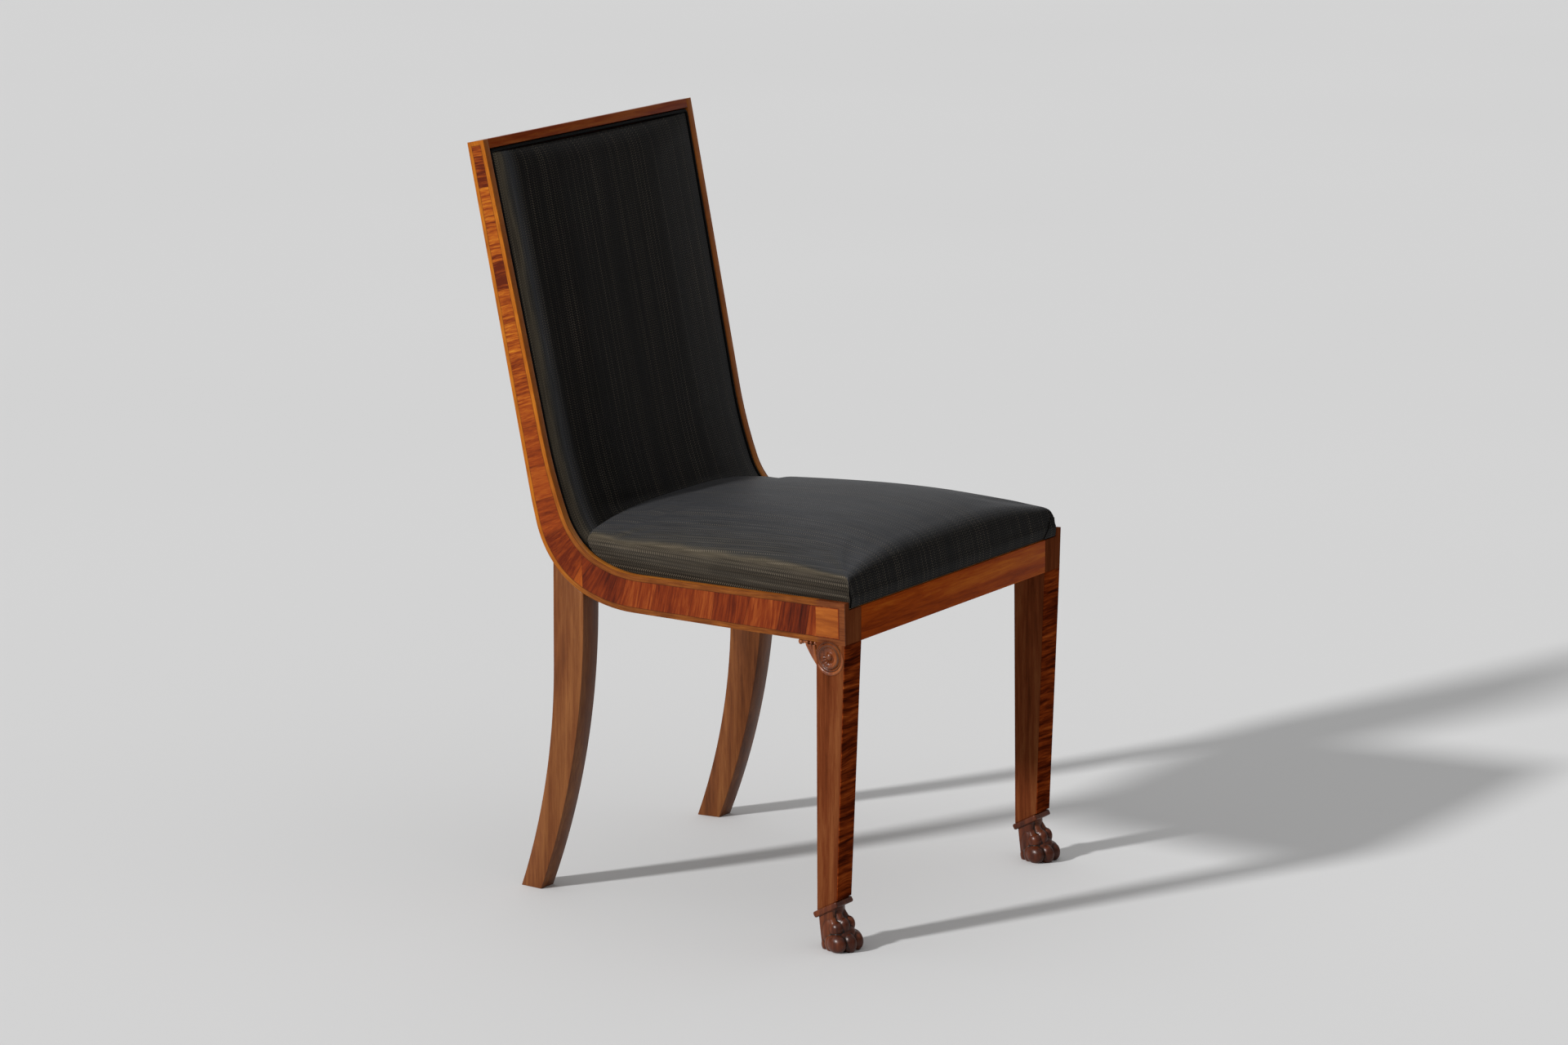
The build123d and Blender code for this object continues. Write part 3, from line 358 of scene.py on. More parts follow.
@dataclass(frozen=True)
class BandedVeneer(Finish):
    """The side frames' face: light stringing along the edges and leaves of cross-grained veneer between.

    Args:
        upright_leaf: The length of a leaf on the upright, in metres.
        rail_leaf: The length of a leaf on the seat rail, in metres.
        joint: The y of the joint between the two, in metres.
        upright_string: The width of the stringing on the upright, in metres.
        rail_string: The width of the stringing on the rail, in metres.
    """

    upright_leaf: float = 0.041
    rail_leaf: float = 0.046
    joint: float = 0.122
    upright_string: float = 0.0056
    rail_string: float = 0.0064

    def draw(self, bench: Bench) -> None:
        """Draws the finish on a bench."""
        along, edge, inner = bench.stamped("run")
        _, deep, high = bench.split(bench.place())
        upright = deep.rise(self.joint - 0.0002, self.joint + 0.0002)
        border = deep.rise(0.1, 0.2) * (self.upright_string - self.rail_string) + self.rail_string
        drift = bench.noise((along, 0.0, 0.0), 16, 1) * 1.3
        tall, long = along / self.upright_leaf + drift, (along + inner * 0.3) / self.rail_leaf + drift
        leaf = bench.node("Mix", {"data_type": "FLOAT"}, {0: upright, 2: long, 3: tall})
        tone = bench.chance(leaf.floor())
        band = bench.mix(upright, self._long(bench, along, inner, tone), self._tall(bench, along, inner, tone, high))
        seam = (leaf.fraction() - 0.5).size().rise(0.47, 0.497)
        cut = 1 - (deep - self.joint).size().rise(0.0001, 0.0006)
        band = bench.mix(seam * 0.3 + cut * 0.45, band, "2c0f06")
        grain = bench.noise((along * 0.08, inner, 0.2), 460, 4, 0.62, 0.3)
        cloud = bench.noise((along, inner, 0.6), 30, 3, 0.5)
        strip = grain * 0.55 + cloud * 0.45
        golden = bench.ramp(strip, (0.3, "7a3c0b"), (0.5, "a35b14"), (0.7, "be7520"))
        brown = bench.ramp(strip, (0.3, "4c230b"), (0.5, "713c15"), (0.7, "8d5320"))
        front = bench.ramp(strip, (0.3, "42190b"), (0.7, "7d4522"))
        string = bench.mix(deep.rise(0.11, 0.2), brown, golden)
        string = bench.mix(1 - deep.rise(-0.228, -0.218), string, front)
        line = 1 - (edge - border).size().rise(0.0002, 0.0007)
        colour = bench.mix((edge - border).rise(-0.0002, 0.0002), string, band)
        colour = bench.mix(line * 0.5, colour, "2a1006")
        normal = bench.bump(grain * 0.3 - line * 0.7 - seam * 0.3, 0.00012, 0.5)
        bench.surface(colour, 0.3 + grain * 0.14, shine=0.08, coat=0.02, coat_rough=0.2, normal=normal)

    def _tall(self, bench: Bench, along: Wire, across: Wire, tone: Wire, high: Wire) -> Wire:
        """Draws the upright's leaves.

        Args:
            bench: The material's bench.
            along: Length along the bend.
            across: Distance from the front edge.
            tone: One chance value to a leaf.
            high: Height above the floor.

        Returns:
            The leaves' colour, barred above and redder and calmer below.
        """
        fleck = bench.noise((along, across * 0.12, tone * 3.0), 620, 4, 0.66, 0.2)
        bars = bench.noise((along, across * 0.05, tone * 2.0), 290, 3, 0.6)
        barred = fleck * 0.3 + bars * 0.6 + tone * 0.16 - 0.095
        calm = fleck * 0.4 + bars * 0.4 + tone * 0.3 - 0.06
        above = bench.ramp(
            barred, (0.34, "541c08"), (0.44, "7e350d"), (0.52, "9d4f14"), (0.62, "b56c1c"), (0.72, "c98a2a")
        )
        below = bench.ramp(calm, (0.32, "561c08"), (0.5, "82360f"), (0.7, "a05218"))
        return bench.mix(high.rise(0.5, 0.68), below, above)

    def _long(self, bench: Bench, along: Wire, across: Wire, tone: Wire) -> Wire:
        """Draws the rail's leaves, whose grain stands upright.

        Args:
            bench: The material's bench.
            along: Length along the bend.
            across: Distance from the top edge.
            tone: One chance value to a leaf.

        Returns:
            The leaves' colour.
        """
        slant = along + across * 0.22
        stripe = bench.noise((slant, across * 0.06, tone * 4.0), 300, 4, 0.66, 0.3)
        cloud = bench.noise((slant, across * 0.3, tone * 2.0), 80, 3, 0.55, 0.6)
        warm = stripe * 0.6 + cloud * 0.3 + tone * 0.2 - 0.03
        return bench.ramp(warm, (0.3, "300e06"), (0.44, "551c09"), (0.56, "712b0d"), (0.72, "93491c"))


@dataclass(frozen=True)
class LegVeneer(Finish):
    """Dark red veneer with broad, wavy cross figure on the fronts of the front legs."""

    def draw(self, bench: Bench) -> None:
        """Draws the finish on a bench."""
        x, _, z = bench.split(bench.place())
        wave = bench.noise((x, 0.0, z), 14, 1) * 0.014
        figure = bench.noise((x * 0.09, 0.0, z + wave), 165, 3, 0.6)
        grain = bench.noise((x * 0.06, 0.0, z + wave), 700, 3, 0.6)
        tone = figure * 0.75 + grain * 0.25
        colour = bench.ramp(tone, (0.36, "2c0d05"), (0.47, "531d09"), (0.57, "773110"), (0.68, "994d1e"))
        bench.surface(colour, 0.36 + grain * 0.1, shine=0.0, normal=bench.bump(grain, 0.00006, 0.3))


@dataclass(frozen=True)
class HairCloth(Finish):
    """Black horsehair cloth, woven in fine herringbone columns of slanted dashes.

    The weave attribute gives the place across and along, and the way the cloth faces: 0 on a front, 0.5 on a flat top,
    about 0.72 along a ridge and 1 on a side. The ground paints light by it: painted shade on the front, a painted
    bluish sky reflection on the top, a painted highlight along the ridge and browner sides; the dashes are painted
    brighter towards the ridge. Below 0 the cloth is plain black, without dashes.

    Args:
        column: The width of one column of dashes, in metres.
        row: The distance between dashes along it, in metres.
    """

    column: float = 0.0041
    row: float = 0.0030

    def draw(self, bench: Bench) -> None:
        """Draws the finish on a bench."""
        across, along, lie = bench.stamped("weave")
        lane = across / self.column
        within = lane.fraction() - 0.5
        pair = (lane * 0.5).fraction() - 0.5
        dash = ((along / self.row + within * (pair / pair.size()) * 0.9) * TURN).sine()
        stitch = dash.rise(0.1, 0.9) * (1 - within.size().rise(0.2, 0.46))
        strong = bench.chance(lane.floor()).rise(0.3, 1.0)
        drift = bench.noise((across, along * 0.12, 0.0), 60, 3, 0.6).rise(0.3, 0.75)
        # A patchy noise varies the dashes and the roughness, and shifts the painted ridge highlight.
        wear_and_shade = bench.noise((across, along, 0.3), 12, 3, 0.6)
        # Painted highlight: the dashes grow brighter towards the ridge and fade a little on the sides.
        fade = (lie.rise(0.5, 0.7) * 0.45 - lie.rise(0.78, 0.95) * 0.15 + 0.44) * lie.rise(-0.4, -0.1)
        bright = stitch * (strong * 0.5 + 0.22) * (drift * 0.5 + 0.4) * fade * (wear_and_shade + 0.4)
        # Painted light: the black ground gets painted shade on the front, a painted bluish reflection on the top and a
        # painted highlight at the ridge.
        ground = bench.ramp(
            lie + (wear_and_shade - 0.5) * lie.rise(0.52, 0.62) * 0.22,
            (0.0, "060606"), (0.2, "111010"), (0.3, "171615"), (0.5, "3c3d40"), (0.57, "3a3937"),
            (0.64, "554d40"), (0.71, "423b31"), (0.82, "312b23"), (1.0, "25201a"),
        )  # fmt: skip
        hair = bench.noise((across, along * 0.02, 0.7), 900, 2, 0.6)
        ground = bench.mix(1.0, ground, bench.ramp(hair, (0.3, "b4b4b4"), (0.7, "ffffff")), blend="MULTIPLY")
        bench.surface(
            bench.mix(bright, ground, "9c8e7a"), 0.44 - stitch * 0.08 + wear_and_shade * 0.1, shine=0.05, sheen=0.02,
            sheen_rough=0.4, sheen_tint=ink("b4bac6"), normal=bench.bump(stitch, 0.00022, 0.5),
        )  # fmt: skip


@dataclass(frozen=True)
class Coarse(Finish):
    """A coarse plain weave, for webbing, hessian and the cloth under the seat.

    Args:
        dark: The colour between threads.
        light: The colour of the threads.
        pitch: The distance between threads, in metres.
    """

    dark: str
    light: str
    pitch: float

    def draw(self, bench: Bench) -> None:
        """Draws the finish on a bench."""
        x, y, z = bench.split(bench.place())
        warp, weft = (((way / self.pitch) * TURN).sine() for way in (x, y - z))
        weave = (warp * weft).size()
        slub = bench.noise(bench.place(), 240, 3, 0.6)
        colour = bench.ramp(weave * 0.6 + slub * 0.5, (0.2, self.dark), (0.8, self.light))
        bench.surface(colour, 0.82 + slub * 0.12, normal=bench.bump(weave + slub * 0.4, 0.0003, 0.7))


@dataclass(frozen=True)
class Steel(Finish):
    """Dull steel of screws and tacks, browned in patches."""

    def draw(self, bench: Bench) -> None:
        """Draws the finish on a bench."""
        fleck = bench.noise(bench.place(), 700, 4, 0.6)
        patch = bench.noise(bench.place(), 160, 2, 0.5).rise(0.5, 0.7)
        colour = bench.mix(patch * 0.6, bench.ramp(fleck, (0.3, "55524e"), (0.7, "8d8a84")), "4a2f1f")
        normal = bench.bump(fleck, 0.00005, 0.4)
        bench.surface(colour, 0.36 + fleck * 0.2, metal=1 - patch * 0.4, normal=normal)


@dataclass(frozen=True)
class Backdrop(Finish):
    """The plain pale floor."""

    def draw(self, bench: Bench) -> None:
        """Draws the finish on a bench."""
        bench.surface(bench.mix(bench.noise(bench.place(), 0.6, 2, 0.5), "d1d1d1", "d4d4d4"), 0.9, shine=0.1)


SIDE_BOARD = Timber("side_board_walnut", "652f0c", "8f4e16", "ad6c24", runs=True)
FRONT_LEG_WOOD = Timber("front_leg_walnut", "3f1c0d", "613019", "7b4929", coat=0.0, shine=0.0)
REAR_LEG_WOOD = Timber("rear_leg_walnut", "44220f", "67391b", "83522b")
RAIL_WOOD = Timber("rail_mahogany", "561804", "903c0c", "b3601a", Axis.ACROSS, coat=0.0, shine=0.01)
CREST_WOOD = Timber("crest_mahogany", "431405", "732c0c", "944f1c", Axis.ACROSS, coat=0.0, shine=0.05)
CORNER_PANEL = Timber("corner_panel_satinwood", "76370d", "964f18", "b06a28", Axis.DEEP, rough=0.3)
# The carved finishes paint shade into the hollows of the carvings.
CARVED_WOOD = Timber(
    "carved_walnut", "260d05", "4b200d", "6c3618", rough=0.33, coat=0.05, shine=0.24, wear_and_shade=1.0, slot="carved_wood"
)
BRACKET_WOOD = Timber(
    "bracket_walnut", "4a1f0c", "7c3f1c", "9c5c2a", rough=0.29, coat=0.05, shine=0.36, wear_and_shade=0.9, slot="carved_wood"
)
LEG_VENEER = LegVeneer("leg_veneer")
BEECH = Timber("frame_beech", "8a6238", "b18a58", "c9a878", Axis.ACROSS, rough=0.55, coat=0.0)
DOWEL_BEECH = Timber("dowel_beech", "8f6a40", "b99562", "cfb184", Axis.DEEP, rough=0.55, coat=0.0)
BANDED = BandedVeneer("banded_veneer", slot="crossband_veneer")
HAIRCLOTH = HairCloth("horsehair_cloth", slot="cover_cloth")
WEBBING = Coarse("jute_webbing", "5a4226", "a98a5c", 0.0024, slot="webbing")
HESSIAN = Coarse("hessian_cloth", "6a5233", "b99c6e", 0.0018, slot="hessian")
DUST_CLOTH = Coarse("black_dust_cloth", "080808", "262422", 0.0012, slot="dust_cloth")
STEEL = Steel("dull_steel")
FLOOR = Backdrop("studio_floor")
HESSIAN_THICK, DUST_THICK = 0.0008, 0.0006


# Mesh tools


def hang(name: str, data: bpy.types.ID) -> Piece:
    """Puts a new object of that data into the scene and returns it."""
    made = bpy.data.objects.new(name, data)
    bpy.context.scene.collection.objects.link(made)
    return made


def closed(name: str, shape: Shape) -> Mesh:
    """Returns a mesh of a shape, which is freed."""
    data = bpy.data.meshes.new(name)
    shape.to_mesh(data)
    shape.free()
    return data


def opened(data: Mesh) -> Shape:
    """Returns a mesh's shape, and removes the mesh."""
    shape = bmesh.new()
    shape.from_mesh(data)
    bpy.data.meshes.remove(data)
    return shape


def take_in(shape: Shape, part: Shape) -> None:
    """Adds a part, which is freed, to a shape."""
    data = closed("part", part)
    shape.from_mesh(data)
    bpy.data.meshes.remove(data)


def applied(piece: Piece) -> Mesh:
    """Returns a new mesh of an object with its modifiers applied."""
    graph = bpy.context.evaluated_depsgraph_get()
    return bpy.data.meshes.new_from_object(piece.evaluated_get(graph), depsgraph=graph)


def settle(piece: Piece) -> None:
    """Applies a piece's modifiers to its mesh."""
    old, piece.data = piece.data, applied(piece)
    piece.data.name = old.name
    piece.modifiers.clear()
    bpy.data.meshes.remove(old)


def shade(data: Mesh, angle: float = 32.0) -> None:
    """Shades a mesh smooth, apart from edges sharper than the angle in degrees."""
    data.polygons.foreach_set("use_smooth", [True] * len(data.polygons))
    data.set_sharp_from_angle(angle=math.radians(angle))


def publish(
    name: str, mesh: Shape, finish: Finish, stands_for: Sequence[str] = (), body: Body = Body.FRAME, slot: str = ""
) -> Piece:
    """Makes a finished piece of a shape.

    Args:
        name: The piece's name.
        mesh: Its shape, which is freed.
        finish: The finish that it is dressed in.
        stands_for: The CAD nodes that it replaces.
        body: The body that carries it.
        slot: The record's material slot, where it isn't the finish's own; it is not used.

    Returns:
        The piece.
    """
    data = closed(name, mesh)
    piece = hang(name, data)
    data.materials.append(material_of(finish))
    shade(data)
    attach(piece, body.value)
    slot or finish.slot
    if stands_for:
        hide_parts(*stands_for)
    LOG.info("built %s, %d faces", name, len(data.polygons))
    return piece


def dress(nodes: Sequence[str], finish: Finish) -> None:
    """Gives CAD nodes that stay a finish.

    Args:
        nodes: The nodes' names.
        finish: The finish.
    """
    for name in nodes:
        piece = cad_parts[name]
        if not piece.material_slots:
            piece.data.materials.append(None)
        for place in piece.material_slots:
            place.material = material_of(finish)
        LOG.info("dressed %s", name)


def merged_copy(node: str) -> Shape:
    """Returns a copy of a CAD node's mesh with its loose triangles joined up."""
    mesh = bmesh.new()
    mesh.from_mesh(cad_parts[node].data)
    bmesh.ops.remove_doubles(mesh, verts=mesh.verts, dist=2e-6)
    return mesh


def flatten(mesh: Shape) -> None:
    """Joins faces that lie in one plane."""
    bmesh.ops.dissolve_limit(mesh, angle_limit=math.radians(0.4), verts=mesh.verts, edges=mesh.edges)


def softened_copy(node: str, width: float) -> Shape:
    """Copies a CAD node's mesh with its sharp arrises rounded.

    Args:
        node: The CAD node.
        width: The width of the rounding, in metres.

    Returns:
        The softened shape.
    """
    mesh = merged_copy(node)
    flatten(mesh)
    sharp = [e for e in mesh.edges if e.is_manifold and e.calc_face_angle() > math.radians(35)]
    bmesh.ops.bevel(
        mesh, geom=sharp, offset=width, offset_type="OFFSET", segments=2, profile=0.5, affect="EDGES", material=-1
    )
    return mesh


def points_of(data: Mesh) -> np.ndarray:
    """Returns a mesh's points, three numbers to a row."""
    flat = np.empty(len(data.vertices) * 3, dtype=np.float32)
    data.vertices.foreach_get("co", flat)
    return flat.reshape(-1, 3).astype(float)


def normals_of(data: Mesh) -> np.ndarray:
    """Returns the directions that a mesh's points face, three numbers to a row."""
    return np.array([v.normal for v in data.vertices])


def stamp(data: Mesh, name: str, *columns: Union[np.ndarray, float]) -> None:
    """Writes a vector attribute on a mesh's points.

    Args:
        data: The mesh.
        name: The attribute's name.
        columns: The three parts of the vectors, each a number to a point or one for all.
    """
    values = np.stack(np.broadcast_arrays(*columns), axis=1)
    layer = data.attributes.new(name, "FLOAT_VECTOR", "POINT")
    layer.data.foreach_set("vector", values.astype(np.float32).ravel())


def cut_sheet(columns: int, rows: int, form: SheetForm, thickness: float) -> tuple[Shape, float]:
    """Makes a sheet of cloth that lies on a form.

    Args:
        columns: Faces across.
        rows: Faces along.
        form: The place of a point, from its share across, -1 to 1, and along, 0 to 1.
        thickness: The cloth's thickness.

    Returns:
        The sheet and the area of one face of it.
    """
    mesh = bmesh.new()
    bmesh.ops.create_grid(mesh, x_segments=columns, y_segments=rows, size=1.0)
    for point in mesh.verts:
        point.co = form(point.co.x, (point.co.y + 1) / 2)
    bmesh.ops.recalc_face_normals(mesh, faces=mesh.faces)
    area = sum(f.calc_area() for f in mesh.faces)
    bmesh.ops.solidify(mesh, geom=mesh.faces, thickness=thickness)
    return mesh, area


def shaped_block(cuts: Sequence[int], form: BlockForm) -> Shape:
    """Makes a divided block and lays its points on a form.

    Args:
        cuts: Cuts across, along and up.
        form: The place of a point, from its shares across, along and up, each -1 to 1.

    Returns:
        The closed shape.
    """
    mesh = bmesh.new()
    bmesh.ops.create_cube(mesh, size=2.0)
    for axis, count in enumerate(cuts):
        ways = [(e, e.verts[1].co - e.verts[0].co) for e in mesh.edges]
        edges = [e for e, way in ways if abs(way[axis]) > 0.9 * way.length]
        bmesh.ops.subdivide_edges(mesh, edges=edges, cuts=count, use_grid_fill=True)
    for point in mesh.verts:
        point.co = form(*point.co)
    bmesh.ops.recalc_face_normals(mesh, faces=mesh.faces)
    return mesh


def tube(points: Sequence[Vector], radii: Sequence[float]) -> Shape:
    """Makes a round tube along a line.

    Args:
        points: The points of the tube's centre.
        radii: The tube's radius at each point.

    Returns:
        The tube, with closed ends.
    """
    line = bpy.data.curves.new("tube", "CURVE")
    line.dimensions = "3D"
    line.bevel_depth, line.bevel_resolution, line.use_fill_caps = 1.0, 4, True
    spline = line.splines.new("POLY")
    spline.points.add(len(points) - 1)
    for place, point, radius in zip(spline.points, points, radii):
        place.co, place.radius = (*point, 1.0), radius
    holder = hang("tube", line)
    mesh = opened(applied(holder))
    bmesh.ops.remove_doubles(mesh, verts=mesh.verts, dist=1e-6)
    bmesh.ops.recalc_face_normals(mesh, faces=mesh.faces)
    bpy.data.objects.remove(holder)
    bpy.data.curves.remove(line)
    return mesh


def interlace(
    mesh: Shape,
    survey: Callable[[np.ndarray], tuple[np.ndarray, np.ndarray, np.ndarray]],
    pitch: tuple[float, float],
    step: float = 1.6 * MM,
) -> None:
    """Weaves straps that lie in two layers over and under each other.

    Args:
        mesh: The straps, each a solid of its own.
        survey: For points, their height above the plane between the layers, their place along the lower straps from
            the first crossing, and the direction from the lower layer to the upper.
        pitch: The distance between the lower straps, which lie evenly about the middle, and between the upper ones.
        step: The distance between the layers.
    """
    flatten(mesh)
    broad = [e for e in mesh.edges if e.calc_length() > 0.012]
    bmesh.ops.subdivide_edges(mesh, edges=broad, cuts=19, use_grid_fill=True)
    mesh.verts.index_update()
    points = np.array([p.co[:] for p in mesh.verts])
    level, along, lift = survey(points)
    wave = np.cos(math.pi * (points[:, 0] / pitch[0] + 0.5)) * np.cos(math.pi * along / pitch[1])
    move = lift * (step * np.clip(0.5 + wave / 0.6, 0, 1))[:, None]
    left = set(mesh.verts)
    while left:
        strap, rim = [], [left.pop()]
        while rim:
            point = rim.pop()
            strap.append(point)
            fresh = {e.other_vert(point) for e in point.link_edges} & left
            left -= fresh
            rim += fresh
        way = 1 if level[[p.index for p in strap]].mean() < 0 else -1
        for point in strap:
            point.co += Vector(move[point.index]) * way


def stretched_sheet(
    name: str, form: SheetForm, thickness: float, finish: Finish, node: str, body: Body, rests_on: Sequence[str]
) -> None:
    """Makes a sheet that is stretched and tacked over part of the frame.

    Args:
        name: The piece's name.
        form: The place of a point, from its share across, -1 to 1, and along, 0 to 1.
        thickness: The cloth's thickness.
        finish: Its finish.
        node: The CAD node that it stands for.
        body: The body that carries it.
        rests_on: What it is tacked to; it is not used.
    """
    mesh, area = cut_sheet(40, 40, form, thickness)
    line = [form(0.0, i / 60) for i in range(61)]
    length = sum((b - a).length for a, b in zip(line, line[1:]))
    width = max(2 * abs(form(1.0, way / 20).x) for way in range(21))
    piece = publish(name, mesh, finish, [node], body)
    list(rests_on)
    LOG.info("%s is cut %.3f by %.3f m, %.4f m2", name, width, length, area)


# The hollow stamp is read by the carved finishes as painted shade.
def stamp_hollows(data: Mesh, reach: int = 3, gain: float = 2.6) -> None:
    """Stamps a carved mesh with how hollow it is at each point.

    Args:
        data: The mesh.
        reach: How many times the value is spread to its neighbours.
        gain: What the value is multiplied by before it is kept between 0 and 1.
    """
    points, normals = points_of(data), normals_of(data)
    first, second = np.array([e.vertices[:] for e in data.edges]).T
    count = np.bincount(np.concatenate([first, second]), minlength=len(points)).clip(1)
    way = points[second] - points[first]
    way /= np.linalg.norm(way, axis=1, keepdims=True).clip(1e-9)
    bend = np.zeros(len(points))
    np.add.at(bend, first, (way * normals[first]).sum(axis=1))
    np.add.at(bend, second, -(way * normals[second]).sum(axis=1))
    bend /= count
    for _ in range(reach):
        spread = np.zeros(len(points))
        np.add.at(spread, first, bend[second])
        np.add.at(spread, second, bend[first])
        bend = 0.4 * bend + 0.6 * spread / count
    stamp(data, "hollow", *[np.clip(bend * gain, 0.0, 1.0)] * 3)


class Carving:
    """Gathers rounded lumps, blocks and ridges, and melts them into one carved shape."""

    def __init__(self, voxel: float, softening: int) -> None:
        """Starts with nothing gathered.

        Args:
            voxel: The finest step of the carving, in metres.
            softening: How many times the melted shape is smoothed.
        """
        self.mesh = bmesh.new()
        self.voxel, self.softening = voxel, softening

    def lump(self, centre: Sequence[float], radii: Sequence[float], turn: float = 0.0) -> None:
        """Adds an egg-shaped lump of those half sizes, turned about the vertical by an angle in radians."""
        matrix = Matrix.Translation(centre) @ Matrix.Rotation(turn, 4, "Z") @ Matrix.Diagonal((*radii, 1.0))
        bmesh.ops.create_uvsphere(self.mesh, u_segments=32, v_segments=18, radius=1.0, matrix=matrix)

    def block(self, form: BlockForm) -> None:
        """Adds a divided block that is laid on a form."""
        take_in(self.mesh, shaped_block((7, 7, 7), form))

    def ridge(self, points: Sequence[Vector], radii: Sequence[float]) -> None:
        """Adds a round ridge along points, with a radius to each."""
        take_in(self.mesh, tube(points, radii))

    def slab(self, outline: Sequence[Vector], thickness: Vector) -> None:
        """Adds a flat shape.

        Args:
            outline: Its corners.
            thickness: The way and the distance by which they are drawn out.
        """
        part = bmesh.new()
        face = part.faces.new([part.verts.new(p) for p in outline])
        raised = bmesh.ops.extrude_face_region(part, geom=[face])["geom"]
        bmesh.ops.translate(part, vec=thickness, verts=[v for v in raised if isinstance(v, bmesh.types.BMVert)])
        bmesh.ops.recalc_face_normals(part, faces=part.faces)
        take_in(self.mesh, part)

    def melt(self) -> Shape:
        """Melts all that was gathered into one closed shape.

        Returns:
            The carved shape.
        """
        holder = hang("carving", closed("carving", self.mesh))
        remesh = holder.modifiers.new("melt", "REMESH")
        remesh.mode, remesh.voxel_size = "VOXEL", self.voxel
        settle(holder)
        made = holder.data
        bpy.data.objects.remove(holder)
        shape = opened(made)
        ways = {f"use_axis_{axis}": True for axis in "xyz"}
        for _ in range(self.softening):
            bmesh.ops.smooth_vert(shape, verts=shape.verts, factor=0.5, **ways)
        return shape


@dataclass(frozen=True)
class Stuffing:
    """How a padded piece is swollen by a short cloth simulation.

    Args:
        pressure: The pressure inside.
        limit: The furthest that a point may move, in metres.
        frames: The frames that the simulation runs.
    """

    pressure: float = 4.0
    limit: float = 0.0016
    frames: int = 20

    def swell(self, piece: Piece, held: Callable[[Vector], bool]) -> None:
        """Swells a piece and divides it once.

        Args:
            piece: The padded piece.
            held: Tells whether a point is tacked down.
        """
        self._simulate(piece, held)
        finer = piece.modifiers.new("finer", "SUBSURF")
        finer.levels = finer.render_levels = 1
        settle(piece)
        shade(piece.data, 50)

    def _simulate(self, piece: Piece, held: Callable[[Vector], bool]) -> None:
        """Runs the cloth simulation and keeps each point's move within the limit.

        Args:
            piece: The padded piece.
            held: Tells whether a point is tacked down.
        """
        tacked = piece.vertex_groups.new(name="tacked")
        tacked.add([v.index for v in piece.data.vertices if held(v.co)], 1.0, "REPLACE")
        start = points_of(piece.data)
        cloth = piece.modifiers.new("cloth", "CLOTH")
        cloth.settings.use_pressure = True
        cloth.settings.uniform_pressure_force = self.pressure
        cloth.settings.vertex_group_mass = tacked.name
        cloth.settings.effector_weights.gravity = 0.0
        cloth.settings.mass = 0.3
        cloth.settings.tension_stiffness = cloth.settings.compression_stiffness = 20.0
        cloth.settings.bending_stiffness = 2.0
        cloth.collision_settings.use_collision = False
        cloth.point_cache.frame_start, cloth.point_cache.frame_end = 1, self.frames
        scene = bpy.context.scene
        for step in range(1, self.frames + 1):
            scene.frame_set(step)
        graph = bpy.context.evaluated_depsgraph_get()
        moved = points_of(piece.evaluated_get(graph).data) - start
        reach = np.linalg.norm(moved, axis=1, keepdims=True)
        moved *= np.minimum(1.0, self.limit / np.maximum(reach, 1e-9))
        piece.modifiers.clear()
        piece.vertex_groups.clear()
        piece.data.vertices.foreach_set("co", (start + moved).astype(np.float32).ravel())
        piece.data.update()
        scene.frame_set(1)


# The side frame's lines


